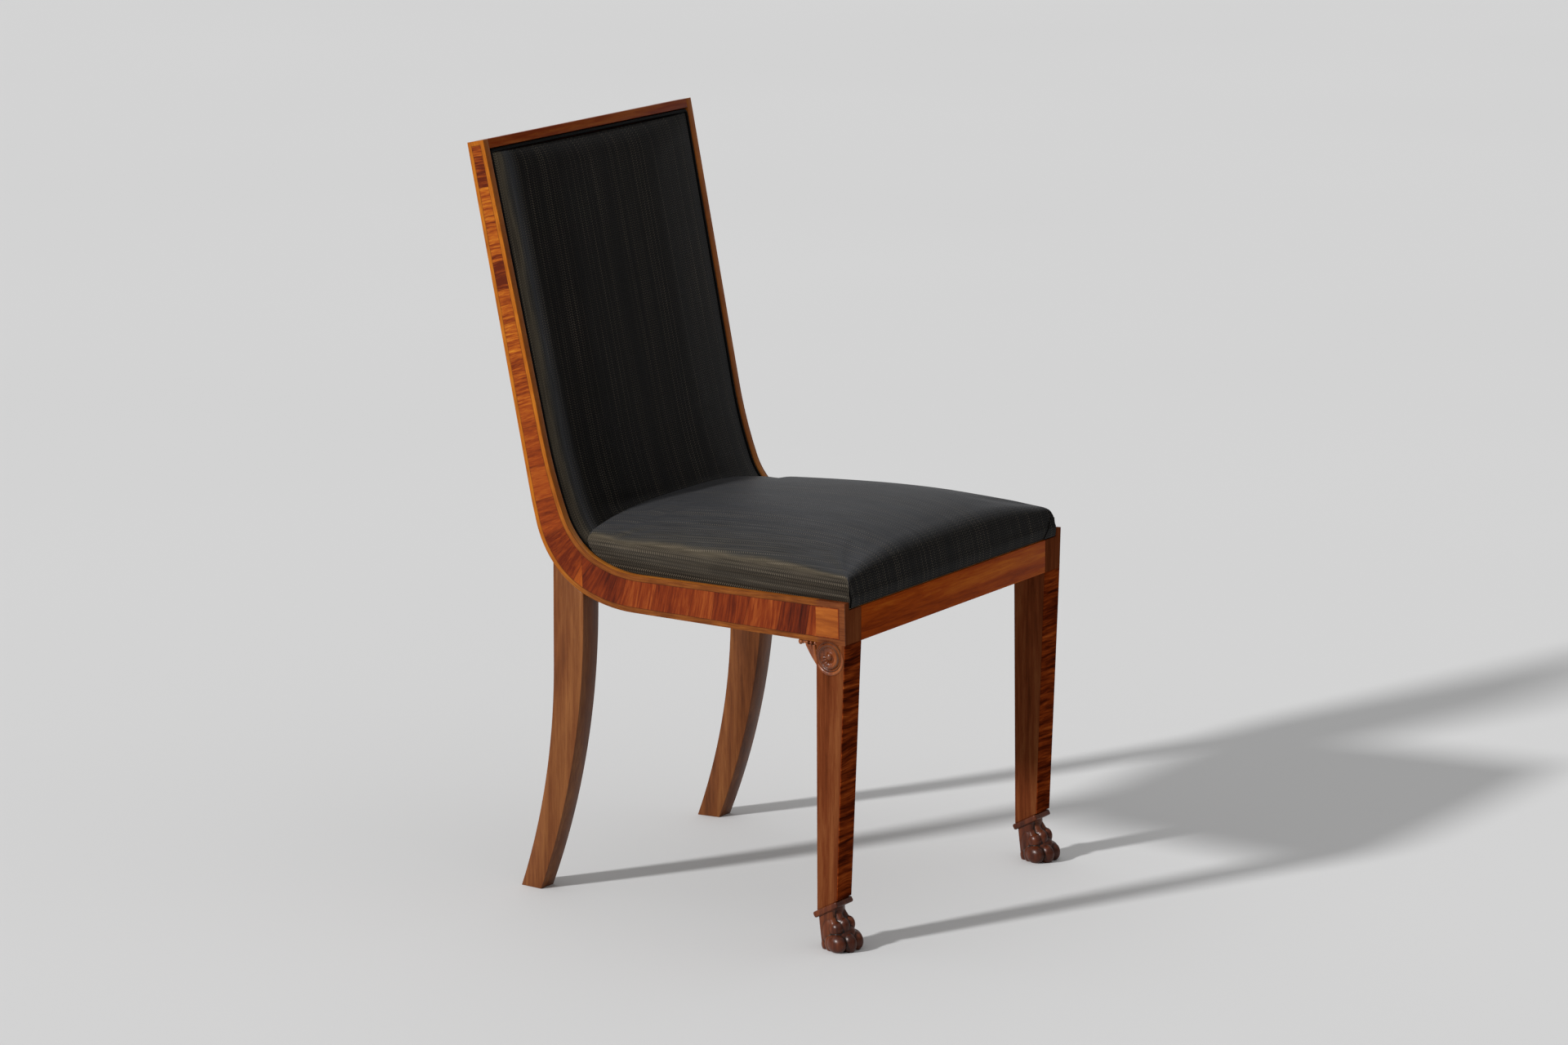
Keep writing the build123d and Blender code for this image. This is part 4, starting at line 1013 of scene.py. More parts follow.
@dataclass(frozen=True)
class BentEdge:
    """One edge of a side frame in the side view, from the top of the back round the bend to the front.

    Args:
        top: The y and z of its upper end, in metres.
        front: The y and z of its front end, in metres.
        headings: The direction of the upright, then after each arc, in degrees.
        radii: The arcs' radii, in metres.
    """

    top: tuple[float, float]
    front: tuple[float, float]
    headings: tuple[float, ...]
    radii: tuple[float, ...]

    @cached_property
    def stations(self) -> np.ndarray:
        """Rows of length along the line, y, z and heading in radians, about 2 mm apart."""
        turn = np.radians(self.headings)
        arcs = list(zip(self.radii, turn, turn[1:]))
        sweep = np.sum([(r * (math.sin(a) - math.sin(b)), r * (math.cos(b) - math.cos(a))) for r, a, b in arcs], axis=0)
        ends = np.array([[math.cos(turn[0]), math.cos(turn[-1])], [math.sin(turn[0]), math.sin(turn[-1])]])
        upright, rail = np.linalg.solve(ends, np.array(self.front) - np.array(self.top) - sweep)
        bends = [(r * (a - b), a, b) for r, a, b in arcs]
        rows, spot, done = [], np.array(self.top), 0.0
        for length, start, stop in [(upright, turn[0], turn[0]), *bends, (rail, turn[-1], turn[-1])]:
            count = max(2, int(length / 0.002))
            for i in range(count):
                heading = start + (stop - start) * (i + 0.5) / count
                rows.append((done, *spot, start + (stop - start) * i / count))
                spot = spot + length / count * np.array([math.cos(heading), math.sin(heading)])
                done += length / count
        rows.append((done, *spot, turn[-1]))
        return np.array(rows)

    def point(self, along: float, shift: float = 0.0) -> tuple[float, float]:
        """Returns the y and z at a length along the line, shifted to its left."""
        y, z, heading = (float(np.interp(along, self.stations[:, 0], self.stations[:, i])) for i in (1, 2, 3))
        return y - shift * math.sin(heading), z + shift * math.cos(heading)

    def length_at(self, heading: float) -> float:
        """Returns the length along the line at which it first turns to a heading in degrees."""
        return float(self.stations[np.argmax(self.stations[:, 3] <= math.radians(heading)), 0])

    def measure(self, points: np.ndarray, batch: int = 4000) -> tuple[np.ndarray, np.ndarray]:
        """Finds where points lie along the line and how far from it.

        Args:
            points: Rows of x, y and z.
            batch: How many are measured at a time.

        Returns:
            Each point's length along the line, and its distance from it.
        """
        table = self.stations
        along, away = np.empty(len(points)), np.empty(len(points))
        for begin in range(0, len(points), batch):
            part = slice(begin, begin + batch)
            gap = points[part, None, 1:3] - table[None, :, 1:3]
            near = np.argmin((gap**2).sum(axis=2), axis=1)
            y, z = gap[np.arange(len(gap)), near].T
            cosine, sine = np.cos(table[near, 3]), np.sin(table[near, 3])
            along[part] = table[near, 0] + (y * cosine + z * sine)
            away[part] = -y * sine + z * cosine
        return along, away


INNER = BentEdge((0.252, 0.9), (-0.263, 0.4125), (257.7, 248.2, 200.5, 178.28), (0.555, 0.087, 0.16))
OUTER = BentEdge((0.2761, 0.8947), (-0.263, 0.363), (259.2, 255.2, 199.1, 179.13), (0.578, 0.113, 0.203))
FRONT, SEAT_EDGE = INNER.front
LIP = 0.010
BOARD = 0.023
FRONT_HALF, TAPER, SPLAY, SLANT = 0.2475, 0.09224, 0.04156, 1.0051
PAD_FOOT = 214.0
PAD_CROWN, PAD_EDGE = 0.013, -0.001


def side_reach(depth: float, y: float, z: float) -> float:
    """Returns the x of a plane at a depth inside the right side frame's outer face; the left mirrors it."""
    return FRONT_HALF - TAPER * (y - FRONT) + SPLAY * (z - SEAT_EDGE) - SLANT * depth


def stamp_run(data: Mesh) -> None:
    """Stamps a side frame's piece with its length along the bend, and its distances from the nearer and front edges.

    Args:
        data: The piece's mesh.
    """
    points = points_of(data)
    along, inner = INNER.measure(points)
    _, outer = OUTER.measure(points)
    stamp(data, "run", along, np.minimum(np.abs(inner), np.abs(outer)), inner)


# The chair


@dataclass
class SideFrames:
    """The two J-shaped side boards with their crossbands, stringing and corner panels."""

    arris: float = 0.6 * MM

    def build(self) -> None:
        """Builds both sides."""
        for side in Side:
            for stem, name, finish, slot in (
                ("side_frame", "side_board", SIDE_BOARD, ""),
                ("crossband", "crossband_leaves", BANDED, ""),
                ("edge_stringing", "stringing", BANDED, "stringing"),
            ):
                node = side.named(stem)
                mesh = softened_copy(node, self.arris) if finish is SIDE_BOARD else merged_copy(node)
                stamp_run(publish(side.named(name), mesh, finish, [node], slot=slot).data)
            dress([side.named("corner_panel")], CORNER_PANEL)


@dataclass
class LegsAndRails:
    """The solid show-wood legs and rails, with their arrises eased."""

    arris: float = 0.5 * MM

    def build(self) -> None:
        """Builds the legs of both sides, then the rails."""
        for side in Side:
            self._ease(side.named("front_leg"), side.named("front_post"), FRONT_LEG_WOOD)
            self._ease(side.named("rear_leg"), side.named("sabre_leg"), REAR_LEG_WOOD)
            dress([side.named("front_leg_veneer")], LEG_VENEER)
        self._ease("front_rail", "front_seat_rail", RAIL_WOOD)
        self._ease("crest_rail", "crest", CREST_WOOD)

    def _ease(self, node: str, name: str, finish: Finish) -> None:
        """Builds one piece as its CAD node with eased arrises."""
        publish(name, softened_copy(node, self.arris), finish, [node])


@dataclass
class PawFeet:
    """The carved paw feet and the slanted collars above them.

    Args:
        middle: The distance of a paw's middle from the chair's middle.
        slant: The collar's slope, in degrees.
        collar: A point of the collar's middle plane, as y and z.
        arris: The rounding of the collar's edges.
        heel: The heel's y at its top, and how far forward it leans towards the floor.
        heel_half: The heel's half width and half depth at its top, and what each loses towards the floor.
        heel_rise: The z of the heel's foot, and its height.
        core: The lumps in the middle, as distance out, y, z, three radii and turn, in millimetres and degrees.
        pairs: The same for the lumps on both hands: outer and front toes, their knuckles, and the heel's sides.
        tendons: The ridges on both hands, as distance out, y, z and radius, in millimetres.
    """

    middle: float = 228.4 * MM
    slant: float = 29.0
    collar: tuple[float, float] = (-0.2370, 0.0482)
    arris: float = 0.9 * MM
    heel: tuple[float, float] = (-0.2340, 0.0045)
    heel_half: Rows = ((0.0154, 0.0028), (0.0115, 0.0020))
    heel_rise: tuple[float, float] = (-0.003, 0.064)
    core: Rows = (
        (0.0, -243.0, 44.0, 10.0, 7.2, 20.0, 0), (0.0, -250.0, 13.0, 19.0, 17.0, 15.5, 0),
        (0.0, -249.5, 27.0, 12.5, 10.0, 11.5, 0), (0.0, -255.5, 18.0, 12.0, 10.5, 12.0, 0),
    )  # fmt: skip
    pairs: Rows = (
        (15.6, -251.6, 9.8, 8.8, 13.8, 11.4, 14), (6.9, -262.6, 9.8, 7.7, 10.2, 12.0, 6),
        (11.4, -248.0, 26.0, 7.2, 10.0, 9.0, 14), (5.7, -254.6, 29.2, 6.3, 8.0, 10.0, 4),
        (10.6, -240.0, 22.0, 6.4, 10.5, 20.0, 0), (8.5, -234.5, 6.0, 6.6, 7.0, 9.0, 0),
        (12.4, -243.5, 9.0, 7.6, 9.0, 12.0, 0),
    )  # fmt: skip
    tendons: tuple[Rows, ...] = (
        ((4.2, -244.5, 46.0, 4.4), (5.0, -248.6, 38.5, 5.0), (5.7, -253.0, 31.0, 5.8)),
        ((5.7, -256.0, 25.0, 4.8), (6.4, -259.0, 17.0, 5.4), (6.9, -262.0, 10.0, 6.8)),
        ((8.8, -239.5, 42.0, 4.8), (10.2, -243.6, 34.0, 5.4), (11.4, -247.6, 27.0, 6.2)),
        ((12.0, -250.0, 21.5, 5.2), (14.0, -251.5, 15.0, 6.2), (15.6, -252.0, 9.0, 7.6)),
    )

    def build(self) -> None:
        """Builds the paw and the collar of both legs."""
        for side in Side:
            self._paw(side)
            node = side.named("ankle_collar")
            mesh = softened_copy(node, self.arris)
            # Painted shade darkens the collar's hollows.
            stamp_hollows(publish(side.named("slanted_collar"), mesh, CARVED_WOOD, [node]).data)

    def _paw(self, side: Side) -> None:
        """Carves one paw and cuts it off at the floor and inside the collar.

        Args:
            side: The side it stands on.
        """
        carving = Carving(voxel=0.7 * MM, softening=2)
        base = side.value * self.middle

        def heel(i: float, j: float, k: float) -> Vector:
            """Places a point of the block on the heel, which narrows and leans forward towards the floor."""
            up = (k + 1) / 2
            plan = Vector((i, j)) * (max(abs(i), abs(j)) / max(1e-6, (abs(i) ** 6 + abs(j) ** 6) ** (1 / 6)))
            (wide, narrows), (thick, thins) = self.heel_half
            x = base + plan.x * (wide - narrows * (1 - up) ** 2)
            y = self.heel[0] - (1 - up) * self.heel[1] + plan.y * (thick - thins * (1 - up))
            return Vector((x, y, self.heel_rise[0] + up * self.heel_rise[1]))

        carving.block(heel)
        for hand, rows in ((0, self.core), (-1, self.pairs), (1, self.pairs)):
            for out, y, z, wide, deep, tall, turn in rows:
                spot = (base + hand * out * MM, y * MM, z * MM)
                carving.lump(spot, (wide * MM, deep * MM, tall * MM), math.radians(hand * turn))
        for hand, line in ((hand, line) for hand in (-1, 1) for line in self.tendons):
            spots = [Vector((base + hand * out * MM, y * MM, z * MM)) for out, y, z, _ in line]
            carving.ridge(spots, [radius * MM for *_, radius in line])
        mesh = carving.melt()
        turn = math.radians(self.slant)
        slope = (0.0, math.sin(turn), math.cos(turn))
        for spot, way in (((0, 0, 0), (0, 0, -1)), ((0.0, *self.collar), slope)):
            everything = [*mesh.verts, *mesh.edges, *mesh.faces]
            cut = bmesh.ops.bisect_plane(mesh, geom=everything, plane_co=spot, plane_no=way, clear_outer=True)
            rim = [e for e in cut["geom_cut"] if isinstance(e, bmesh.types.BMEdge)]
            bmesh.ops.edgeloop_fill(mesh, edges=rim)
        piece = publish(side.named("carved_paw"), mesh, CARVED_WOOD, [side.named("paw_foot")])
        # Painted shade darkens the paw's hollows strongly.
        stamp_hollows(piece.data, reach=3, gain=14.0)


@dataclass
class ScrollBrackets:
    """The carved scroll brackets behind the front legs and the rosettes on the legs' sides.

    All but the centre is in millimetres, back and up from the rosette's middle and out from the leg's face.

    Args:
        centre: The rosette's middle, as y and z, in metres.
        section: The rosette's section, as radius and height.
        flutes: Their number, depth, and the radius and half width of the ring that they lie in.
        fluted: The middle and the half width of the fluted part, as angles in radians.
        tail: The scroll's tail round the rosette: half its depth and height, its middle's rise, and its height.
        tail_turn: The angles at which it starts and ends, in degrees.
        tail_girth: Its radius at shares of its length.
        outline: The bracket's outline.
        slab: The height of the bracket's inner face, and its thickness.
        ribs: The leaf's ribs, as back, up and radius.
        curls: The small curls at the ribs' ends, as back, up and radius.
        volute: The middle of the volute at the tip.
        coil: The volute's first radius, what each radian takes off it, and the angle at which it starts.
        cord: The radius of the volute's ridge, and how much it rises at each of its points.
        eye: The half sizes of the volute's core.
        heights: The heights of the ribs, the curls, the volute's ridge and its core.
    """

    centre: tuple[float, float] = (-0.241, 0.3476)
    section: Rows = (
        (0.0, 4.4), (1.5, 4.3), (3.0, 3.7), (4.1, 2.5), (4.7, 1.2), (5.6, 0.6), (7.5, 0.8), (9.6, 1.5), (10.9, 2.6),
        (11.7, 3.7), (12.7, 4.3), (13.7, 4.2), (14.5, 3.4), (14.9, 2.3), (15.3, 1.5), (15.9, 1.9), (16.6, 2.4),
        (17.3, 2.3), (17.8, 1.5), (18.0, 0.4), (18.0, -0.8),
    )  # fmt: skip
    flutes: tuple[float, ...] = (17, 0.75, 9.0, 2.4)
    fluted: tuple[float, float] = (-0.7, 0.95)
    tail: tuple[float, ...] = (18.2, 17.8, -2.2, 0.4)
    tail_turn: tuple[float, float] = (-28, -262)
    tail_girth: Rows = ((0, 0.22, 0.5, 0.8, 1), (1.6, 3.0, 2.2, 1.3, 0.7))
    outline: Rows = (
        (13.5, 14.3), (41.0, 14.1), (41.0, 11.0), (37.0, 9.0), (27.0, -2.6), (17.0, -16.0), (13.5, -17.5),
    )  # fmt: skip
    slab: tuple[float, float] = (-15.0, 11.4)
    ribs: tuple[Rows, ...] = (
        ((19.1, -14.0, 1.3), (23.0, -8.0, 1.8), (27.3, -1.6, 2.1), (34.2, 9.8, 2.2)),
        ((18.7, -13.4, 1.2), (21.8, -7.6, 1.6), (24.9, -1.5, 1.9), (29.2, 9.9, 2.2)),
        ((18.2, -12.6, 1.2), (20.6, -7.0, 1.7), (22.5, -1.2, 2.1), (24.0, 10.0, 2.3)),
        ((17.0, -10.0, 1.4), (17.8, -4.0, 1.9), (18.0, 1.5, 2.2), (18.4, 12.0, 2.2)),
    )
    curls: Rows = ((21.4, 12.6, 2.3), (27.4, 12.5, 2.2), (33.0, 12.4, 2.0))
    volute: tuple[float, float] = (43.6, 10.7)
    coil: tuple[float, ...] = (3.3, 0.21, 2.6)
    cord: tuple[float, float] = (0.95, 0.05)
    eye: tuple[float, ...] = (5.5, 2.6, 2.6)
    heights: tuple[float, ...] = (-3.0, -2.2, -4.5, -7.0)

    def build(self) -> None:
        """Builds the bracket and the rosette of both legs."""
        for side in Side:
            self._rosette(side)
            self._bracket(side)

    def place(self, side: Side, back: float, up: float, out: float) -> Vector:
        """Returns the point that lies back and up from the rosette's middle and out from the leg's face."""
        y, z = self.centre[0] + back * MM, self.centre[1] + up * MM
        return Vector((side.value * (side_reach(0.0, y, z) + out * MM), y, z))

    def _rosette(self, side: Side) -> None:
        """Turns the dished rosette, flutes its lower rear and winds the tail of the scroll round it.

        Args:
            side: The side it is on.
        """
        mesh = bmesh.new()
        rim = [mesh.verts.new((r, 0.0, h)) for r, h in self.section]
        edges = [mesh.edges.new(pair) for pair in zip(rim, rim[1:])]
        bmesh.ops.spin(
            mesh, geom=[*rim, *edges], cent=(0, 0, 0), axis=(0, 0, 1), angle=TURN, steps=96, use_merge=True
        )
        bmesh.ops.remove_doubles(mesh, verts=mesh.verts, dist=1e-4)
        number, depth, ring, width = self.flutes
        for point in mesh.verts:
            back, up, out = point.co
            turn = math.atan2(up, back)
            dish = math.exp(-(((math.hypot(back, up) - ring) / width) ** 2))
            part = math.exp(-(((turn - self.fluted[0]) / self.fluted[1]) ** 2))
            point.co = self.place(side, back, up, out + depth * dish * part * math.sin(turn * number))
        bmesh.ops.recalc_face_normals(mesh, faces=mesh.faces)
        turns = np.linspace(*np.radians(self.tail_turn), 60)
        girth = np.interp(np.linspace(0, 1, 60), *self.tail_girth)
        deep, tall, rise, height = self.tail
        line = [self.place(side, deep * math.cos(a), rise + tall * math.sin(a), height) for a in turns]
        take_in(mesh, tube(line, girth * MM))
        piece = publish(side.named("rosette"), mesh, BRACKET_WOOD, [side.named("bracket_rosette")])
        # Painted shade darkens the rosette's grooves.
        stamp_hollows(piece.data, reach=1, gain=4.0)

    def _bracket(self, side: Side) -> None:
        """Carves the leaf bracket with its ribs, curls and the small volute at its tip.

        Args:
            side: The side it is on.
        """
        carving = Carving(voxel=0.5 * MM, softening=1)
        on_rib, on_curl, on_coil, on_eye = self.heights
        outline = [self.place(side, back, up, self.slab[0]) for back, up in self.outline]
        carving.slab(outline, Vector((side.value * self.slab[1] * MM, 0, 0)))
        for rib in self.ribs:
            stations, places = np.linspace(0, 1, len(rib)), np.linspace(0, 1, 24)
            backs, ups, radii = (np.polyval(np.polyfit(stations, row, 3), places) for row in zip(*rib))
            carving.ridge([self.place(side, b, u, on_rib) for b, u in zip(backs, ups)], radii * MM)
        for back, up, radius in self.curls:
            carving.lump(self.place(side, back, up, on_curl), (radius * 1.1 * MM, radius * MM, radius * MM))
        radius, less, start = self.coil
        coil = []
        for i, t in enumerate(np.linspace(0, 2.1 * TURN, 60)):
            back = self.volute[0] + (radius - t * less) * math.cos(t + start)
            up = self.volute[1] - (radius - t * less) * math.sin(t + start)
            coil.append(self.place(side, back, up, on_coil + i * self.cord[1]))
        carving.ridge(coil, [self.cord[0] * MM] * len(coil))
        carving.lump(self.place(side, *self.volute, on_eye), [size * MM for size in self.eye])
        piece = publish(side.named("leaf_bracket"), carving.melt(), BRACKET_WOOD, [side.named("scroll_bracket")])
        # Painted shade darkens the bracket's hollows.
        stamp_hollows(piece.data, reach=2, gain=8.0)


@dataclass
class HiddenFrame:
    """The inner rails, blocks, dowels and screws, which keep their CAD shapes."""

    def dress(self) -> None:
        """Gives each piece its finish."""
        blocks = [s.named(n) for s in Side for n in ("corner_block_front", "corner_block_rear", "seat_rail")]
        dress([*blocks, "lower_back_rail", "rear_seat_rail", "seat_rail_front", "seat_rail_rear"], BEECH)
        dowels = ["front_rail_dowels", "side_rail_dowels", "rear_rail_dowels", "rear_leg_dowels", "back_rail_dowels"]
        dress([*dowels, "crest_dowels", "paw_pegs", "seat_pegs", "seat_frame_dowels"], DOWEL_BEECH)
        dress(["corner_block_screws", "seat_tacks"], STEEL)


@dataclass
class LiftOutSeat:
    """The loose seat's cushion and its inner layers.

    Args:
        tilt: The slope of the seat frame, in degrees.
        origin: The middle of the seat frame's lower front edge.
        front_half: Half the cushion's width at the front.
        taper: What each metre back takes off it.
        reach: Stations front to back, in metres from the front.
        ridge: Height of the cushion's side ridge at the stations.
        crown: Height of the middle of the cushion at the stations.
        fullness: The power by which the crown falls away to the sides.
        shoulder: The radius of the side ridges at the front.
        roll: The radius of the side ridges further back.
        rolled: The run back from which they have that radius.
        nose: The radius over the front.
        length: The run over which the top's curves are read.
        rear: The y beyond which the cushion doesn't reach.
        meets: The run back at which its height against the back is read.
        sunk: How far its lower edge lies below the side frame's top edge.
        slack: How much lower the cushion starts before it is swollen, and how much narrower on each side.
        tacked: The height below which the cover is tacked down, and the y behind which it is.
        bulge: How far the cushion's sides and front swell between top and bottom.
        gather: The power by which the mesh is finer at its edges.
        cuts: The mesh's cuts across, along and up.
        steep: How far a face has to turn to the side or the front for the weave to run down it.
        brink: The x and z at which the weave turns down.
        fold: A corner fold's inset, its width, the share that it narrows by, its foot and its drop below the ridge.
        fold_lift: How far the fold stands off at its open edge, and its thickness.
        web_plane: The height of the plane between the webbing's layers.
        hessian: The hessian's inset, length and height.
        dust: The dust cloth's start, length, inset, height and sag.
        long_step: The distance between straps that run front to back.
        cross_start: The y of the first cross strap's middle.
        cross_step: The distance between cross straps, along y.
        stuffing: The way it is swollen.
    """

    tilt: float = 1.72
    origin: tuple[float, float, float] = (0.0, FRONT, 0.403295)
    front_half: float = 0.23605
    taper: float = 0.0935
    reach: tuple[float, ...] = (0.001, 0.061, 0.169, 0.289, 0.401)
    ridge: tuple[float, ...] = (0.0370, 0.0400, 0.0428, 0.0448, 0.0500)
    crown: tuple[float, ...] = (0.0520, 0.0690, 0.0780, 0.0750, 0.0640)
    fullness: float = 2.9
    shoulder: float = 0.008
    roll: float = 0.018
    rolled: float = 0.14
    nose: float = 0.022
    length: float = 0.372
    rear: float = 0.126
    meets: float = 0.37
    sunk: float = 0.0085
    slack: tuple[float, float] = (0.0015, 0.0012)
    tacked: tuple[float, float] = (0.014, 0.09)
    bulge: float = 0.0016
    gather: float = 1.25
    cuts: tuple[int, ...] = (95, 79, 9)
    steep: float = 0.75
    brink: tuple[float, float] = (0.24, 0.45)
    fold: tuple[float, ...] = (0.0030, 0.026, 0.75, 0.001, 0.013)
    fold_lift: tuple[float, float] = (0.0009, 0.0006)
    web_plane: float = 0.0196
    hessian: tuple[float, ...] = (0.0029, 0.3474, 0.0212)
    dust: tuple[float, ...] = (0.0441, 0.2768, 0.0160, -0.0006, 0.0022)
    long_step: float = 0.09549
    cross_start: float = -0.16246
    cross_step: float = 0.07852
    stuffing: Stuffing = field(default_factory=Stuffing)

    def build(self) -> None:
        """Builds the cushion and the layers under it."""
        self._cushion()
        self._layers()

    def place(self, x: float, run: float, up: float) -> Vector:
        """Returns the point at x, a run back from the front and a height above the seat frame."""
        turn = math.radians(self.tilt)
        y = self.origin[1] + run * math.cos(turn) + up * math.sin(turn)
        return Vector((x, y, self.origin[2] - run * math.sin(turn) + up * math.cos(turn)))

    def half(self, run: float) -> float:
        """Returns half the cushion's width at a run back from the front."""
        return self.front_half - self.taper * run

    @cached_property
    def _fits(self) -> list[np.ndarray]:
        """Curves of the ridge's and the crown's height by the run back from the front."""
        return [np.polyfit(self.reach, row, 4) for row in (self.ridge, self.crown)]

    def _top(self, share: float, run: float) -> float:
        """Returns the height of the cushion's top.

        Args:
            share: The share across.
            run: The run back from the front.

        Returns:
            The height above the seat frame.
        """
        ridge, crown = (float(np.polyval(fit, run)) for fit in self._fits)
        half, nose = self.half(run), self.shoulder + (self.nose - self.shoulder) * (1 - share**4)
        edge = float(np.interp(run, (0.0, self.rolled), (self.shoulder, self.roll)))
        beside = max(0.0, abs(share) * half - (half - edge))
        ahead = max(0.0, nose + self.reach[0] - run)
        drop = edge - math.sqrt(max(0.0, edge**2 - beside**2))
        fall = nose - math.sqrt(max(0.0, nose**2 - ahead**2))
        return ridge + (crown - ridge) * (1 - abs(share) ** self.fullness) - max(drop, fall)

    def _rear(self, share: float, up: float) -> float:
        """Finds where the cushion meets the back.

        Args:
            share: The share across.
            up: The height above the seat frame.

        Returns:
            The run back from the front.
        """
        rows = INNER.stations[INNER.stations[:, 3] >= math.radians(PAD_FOOT)]
        proud = PAD_EDGE + PAD_CROWN * (1 - share**4) + 0.002
        ys = rows[:, 1] + proud * np.sin(rows[:, 3])
        zs = rows[:, 2] - proud * np.cos(rows[:, 3])
        limit = float(np.interp(self.place(0.0, self.meets, up).z, zs[::-1], ys[::-1]))
        return min(limit, self.rear) - self.origin[1]

    def _floor(self, run: float) -> float:
        """Returns the height of the cushion's lower edge, just below the side frame's top edge."""
        rows, spot = INNER.stations[::-1], self.place(0.0, run, 0.0)
        return max(-0.0002, float(np.interp(spot.y, rows[:, 1], rows[:, 2])) - self.sunk - spot.z)

    def _level(self, spot: Sequence[float]) -> float:
        """Returns a point's height above the seat frame."""
        return spot[2] - self.origin[2] + (spot[1] - self.origin[1]) * math.tan(math.radians(self.tilt))

    def _cushion(self) -> None:
        """Builds the stuffed cushion."""
        near = self.reach[0]

        def form(i: float, j: float, k: float) -> Vector:
            """Places a point of the block on the cushion."""
            share = ((j + 1) / 2) ** self.gather
            across = math.copysign(1 - (1 - abs(i)) ** self.gather, i)
            run, up = near + share * self.length, (k + 1) / 2
            floor = self._floor(run)
            level = floor + (self._top(across, run) - self.slack[0] - floor) * up
            run = near + share * (self._rear(across, level) - near)
            bulge = self.bulge * math.sin(math.pi * up)
            x = across * (self.half(run) - self.slack[1] + bulge)
            return self.place(x, run - bulge * (1 - share) ** 8, level)

        mesh = shaped_block(self.cuts, form)
        piece = publish("seat_cushion", mesh, HAIRCLOTH, ["seat_cover", "seat_stuffing"], Body.SEAT)
        self.stuffing.swell(piece, lambda p: self._level(p) < self.tacked[0] or p.y > self.tacked[1])
        (x, y, z), (east, back, up) = points_of(piece.data).T, normals_of(piece.data).T
        across = np.where(np.abs(east) > self.steep, np.sign(x) * (sum(self.brink) - z), x)
        along = np.where(back < -self.steep, FRONT - self.brink[1] + z, y)
        # Painted light: faces to the front get 0, where painted shade falls, the top 0.5 and the sides 1, with the
        # painted ridge highlight between.
        facing = (east**2 - back**2) / (east**2 + back**2 + 1e-9)
        stamp(piece.data, "weave", across, along, 0.5 + 0.5 * np.clip(1 - up, 0, 1) * facing)
        for side in Side:
            self._fold(side, piece)

    def _fold(self, side: Side, cushion: Piece) -> None:
        """Lays the cloth's folded edge on the cushion's front, beside a corner.

        Args:
            side: The corner's side.
            cushion: The cushion.
        """
        tree = BVHTree.FromPolygons(
            [v.co for v in cushion.data.vertices], [f.vertices[:] for f in cushion.data.polygons]
        )
        inset, width, narrows, foot, drop = self.fold
        lift, thickness = self.fold_lift
        tall = float(np.polyval(self._fits[0], self.reach[0])) - drop - foot

        def form(share: float, way: float) -> Vector:
            """Places a point of the fold just off the cushion's front."""
            inward = inset + (share + 1) / 2 * width * (1 - narrows * way)
            spot = self.place(side.value * (self.half(0.0) - inward), 0.0, foot + way * tall)
            struck = tree.ray_cast(Vector((spot.x, spot.y - 0.05, spot.z)), Vector((0, 1, 0)))[0]
            struck = struck or tree.find_nearest(spot)[0]
            return struck - Vector((0, lift * (1 - (share + 1) / 2 * 0.9), 0))

        mesh, _ = cut_sheet(12, 16, form, thickness)
        piece = publish(side.named("corner_fold"), mesh, HAIRCLOTH, (), Body.SEAT)
        x, _, z = points_of(piece.data).T
        # The fold takes 0.1, the near black painted shade of the cushion's front.
        stamp(piece.data, "weave", x, z, 0.1)

    def _layers(self) -> None:
        """Builds the webbing and the hessian inside the seat and the dust cloth below."""
        turn = math.radians(self.tilt)

        def survey(points: np.ndarray) -> tuple[np.ndarray, np.ndarray, np.ndarray]:
            """Returns points' height between the layers, their place along the seat and the way up."""
            up = np.tile((0.0, math.sin(turn), math.cos(turn)), (len(points), 1))
            return self._level(points.T) - self.web_plane, points[:, 1] - self.cross_start, up

        mesh = merged_copy("seat_webbing")
        interlace(mesh, survey, (self.long_step, self.cross_step))
        publish("woven_seat_webbing", mesh, WEBBING, ["seat_webbing"], Body.SEAT)

        def hessian(share: float, way: float) -> Vector:
            """Places a point of the hessian."""
            inset, length, height = self.hessian
            run = inset + way * length
            ripple = 0.0001 * math.sin(9 * share + 7 * way)
            return self.place(share * (self.half(run) - inset), run, height + ripple)

        def dust(share: float, way: float) -> Vector:
            """Places a point of the dust cloth, which sags a little."""
            start, length, inset, height, sag = self.dust
            run = start + way * length
            sunk = sag * (1 - share**2) * 4 * way * (1 - way)
            return self.place(share * (self.half(run) - inset), run, height - sunk)

        rails = ["seat_rail_front", "seat_rail_rear", "seat_rail_left", "seat_rail_right"]
        stretched_sheet("seat_hessian_cloth", hessian, HESSIAN_THICK, HESSIAN, "seat_hessian", Body.SEAT, rails)
        stretched_sheet("seat_dust_cloth", dust, DUST_THICK, DUST_CLOTH, "seat_dust_cover", Body.SEAT, rails)


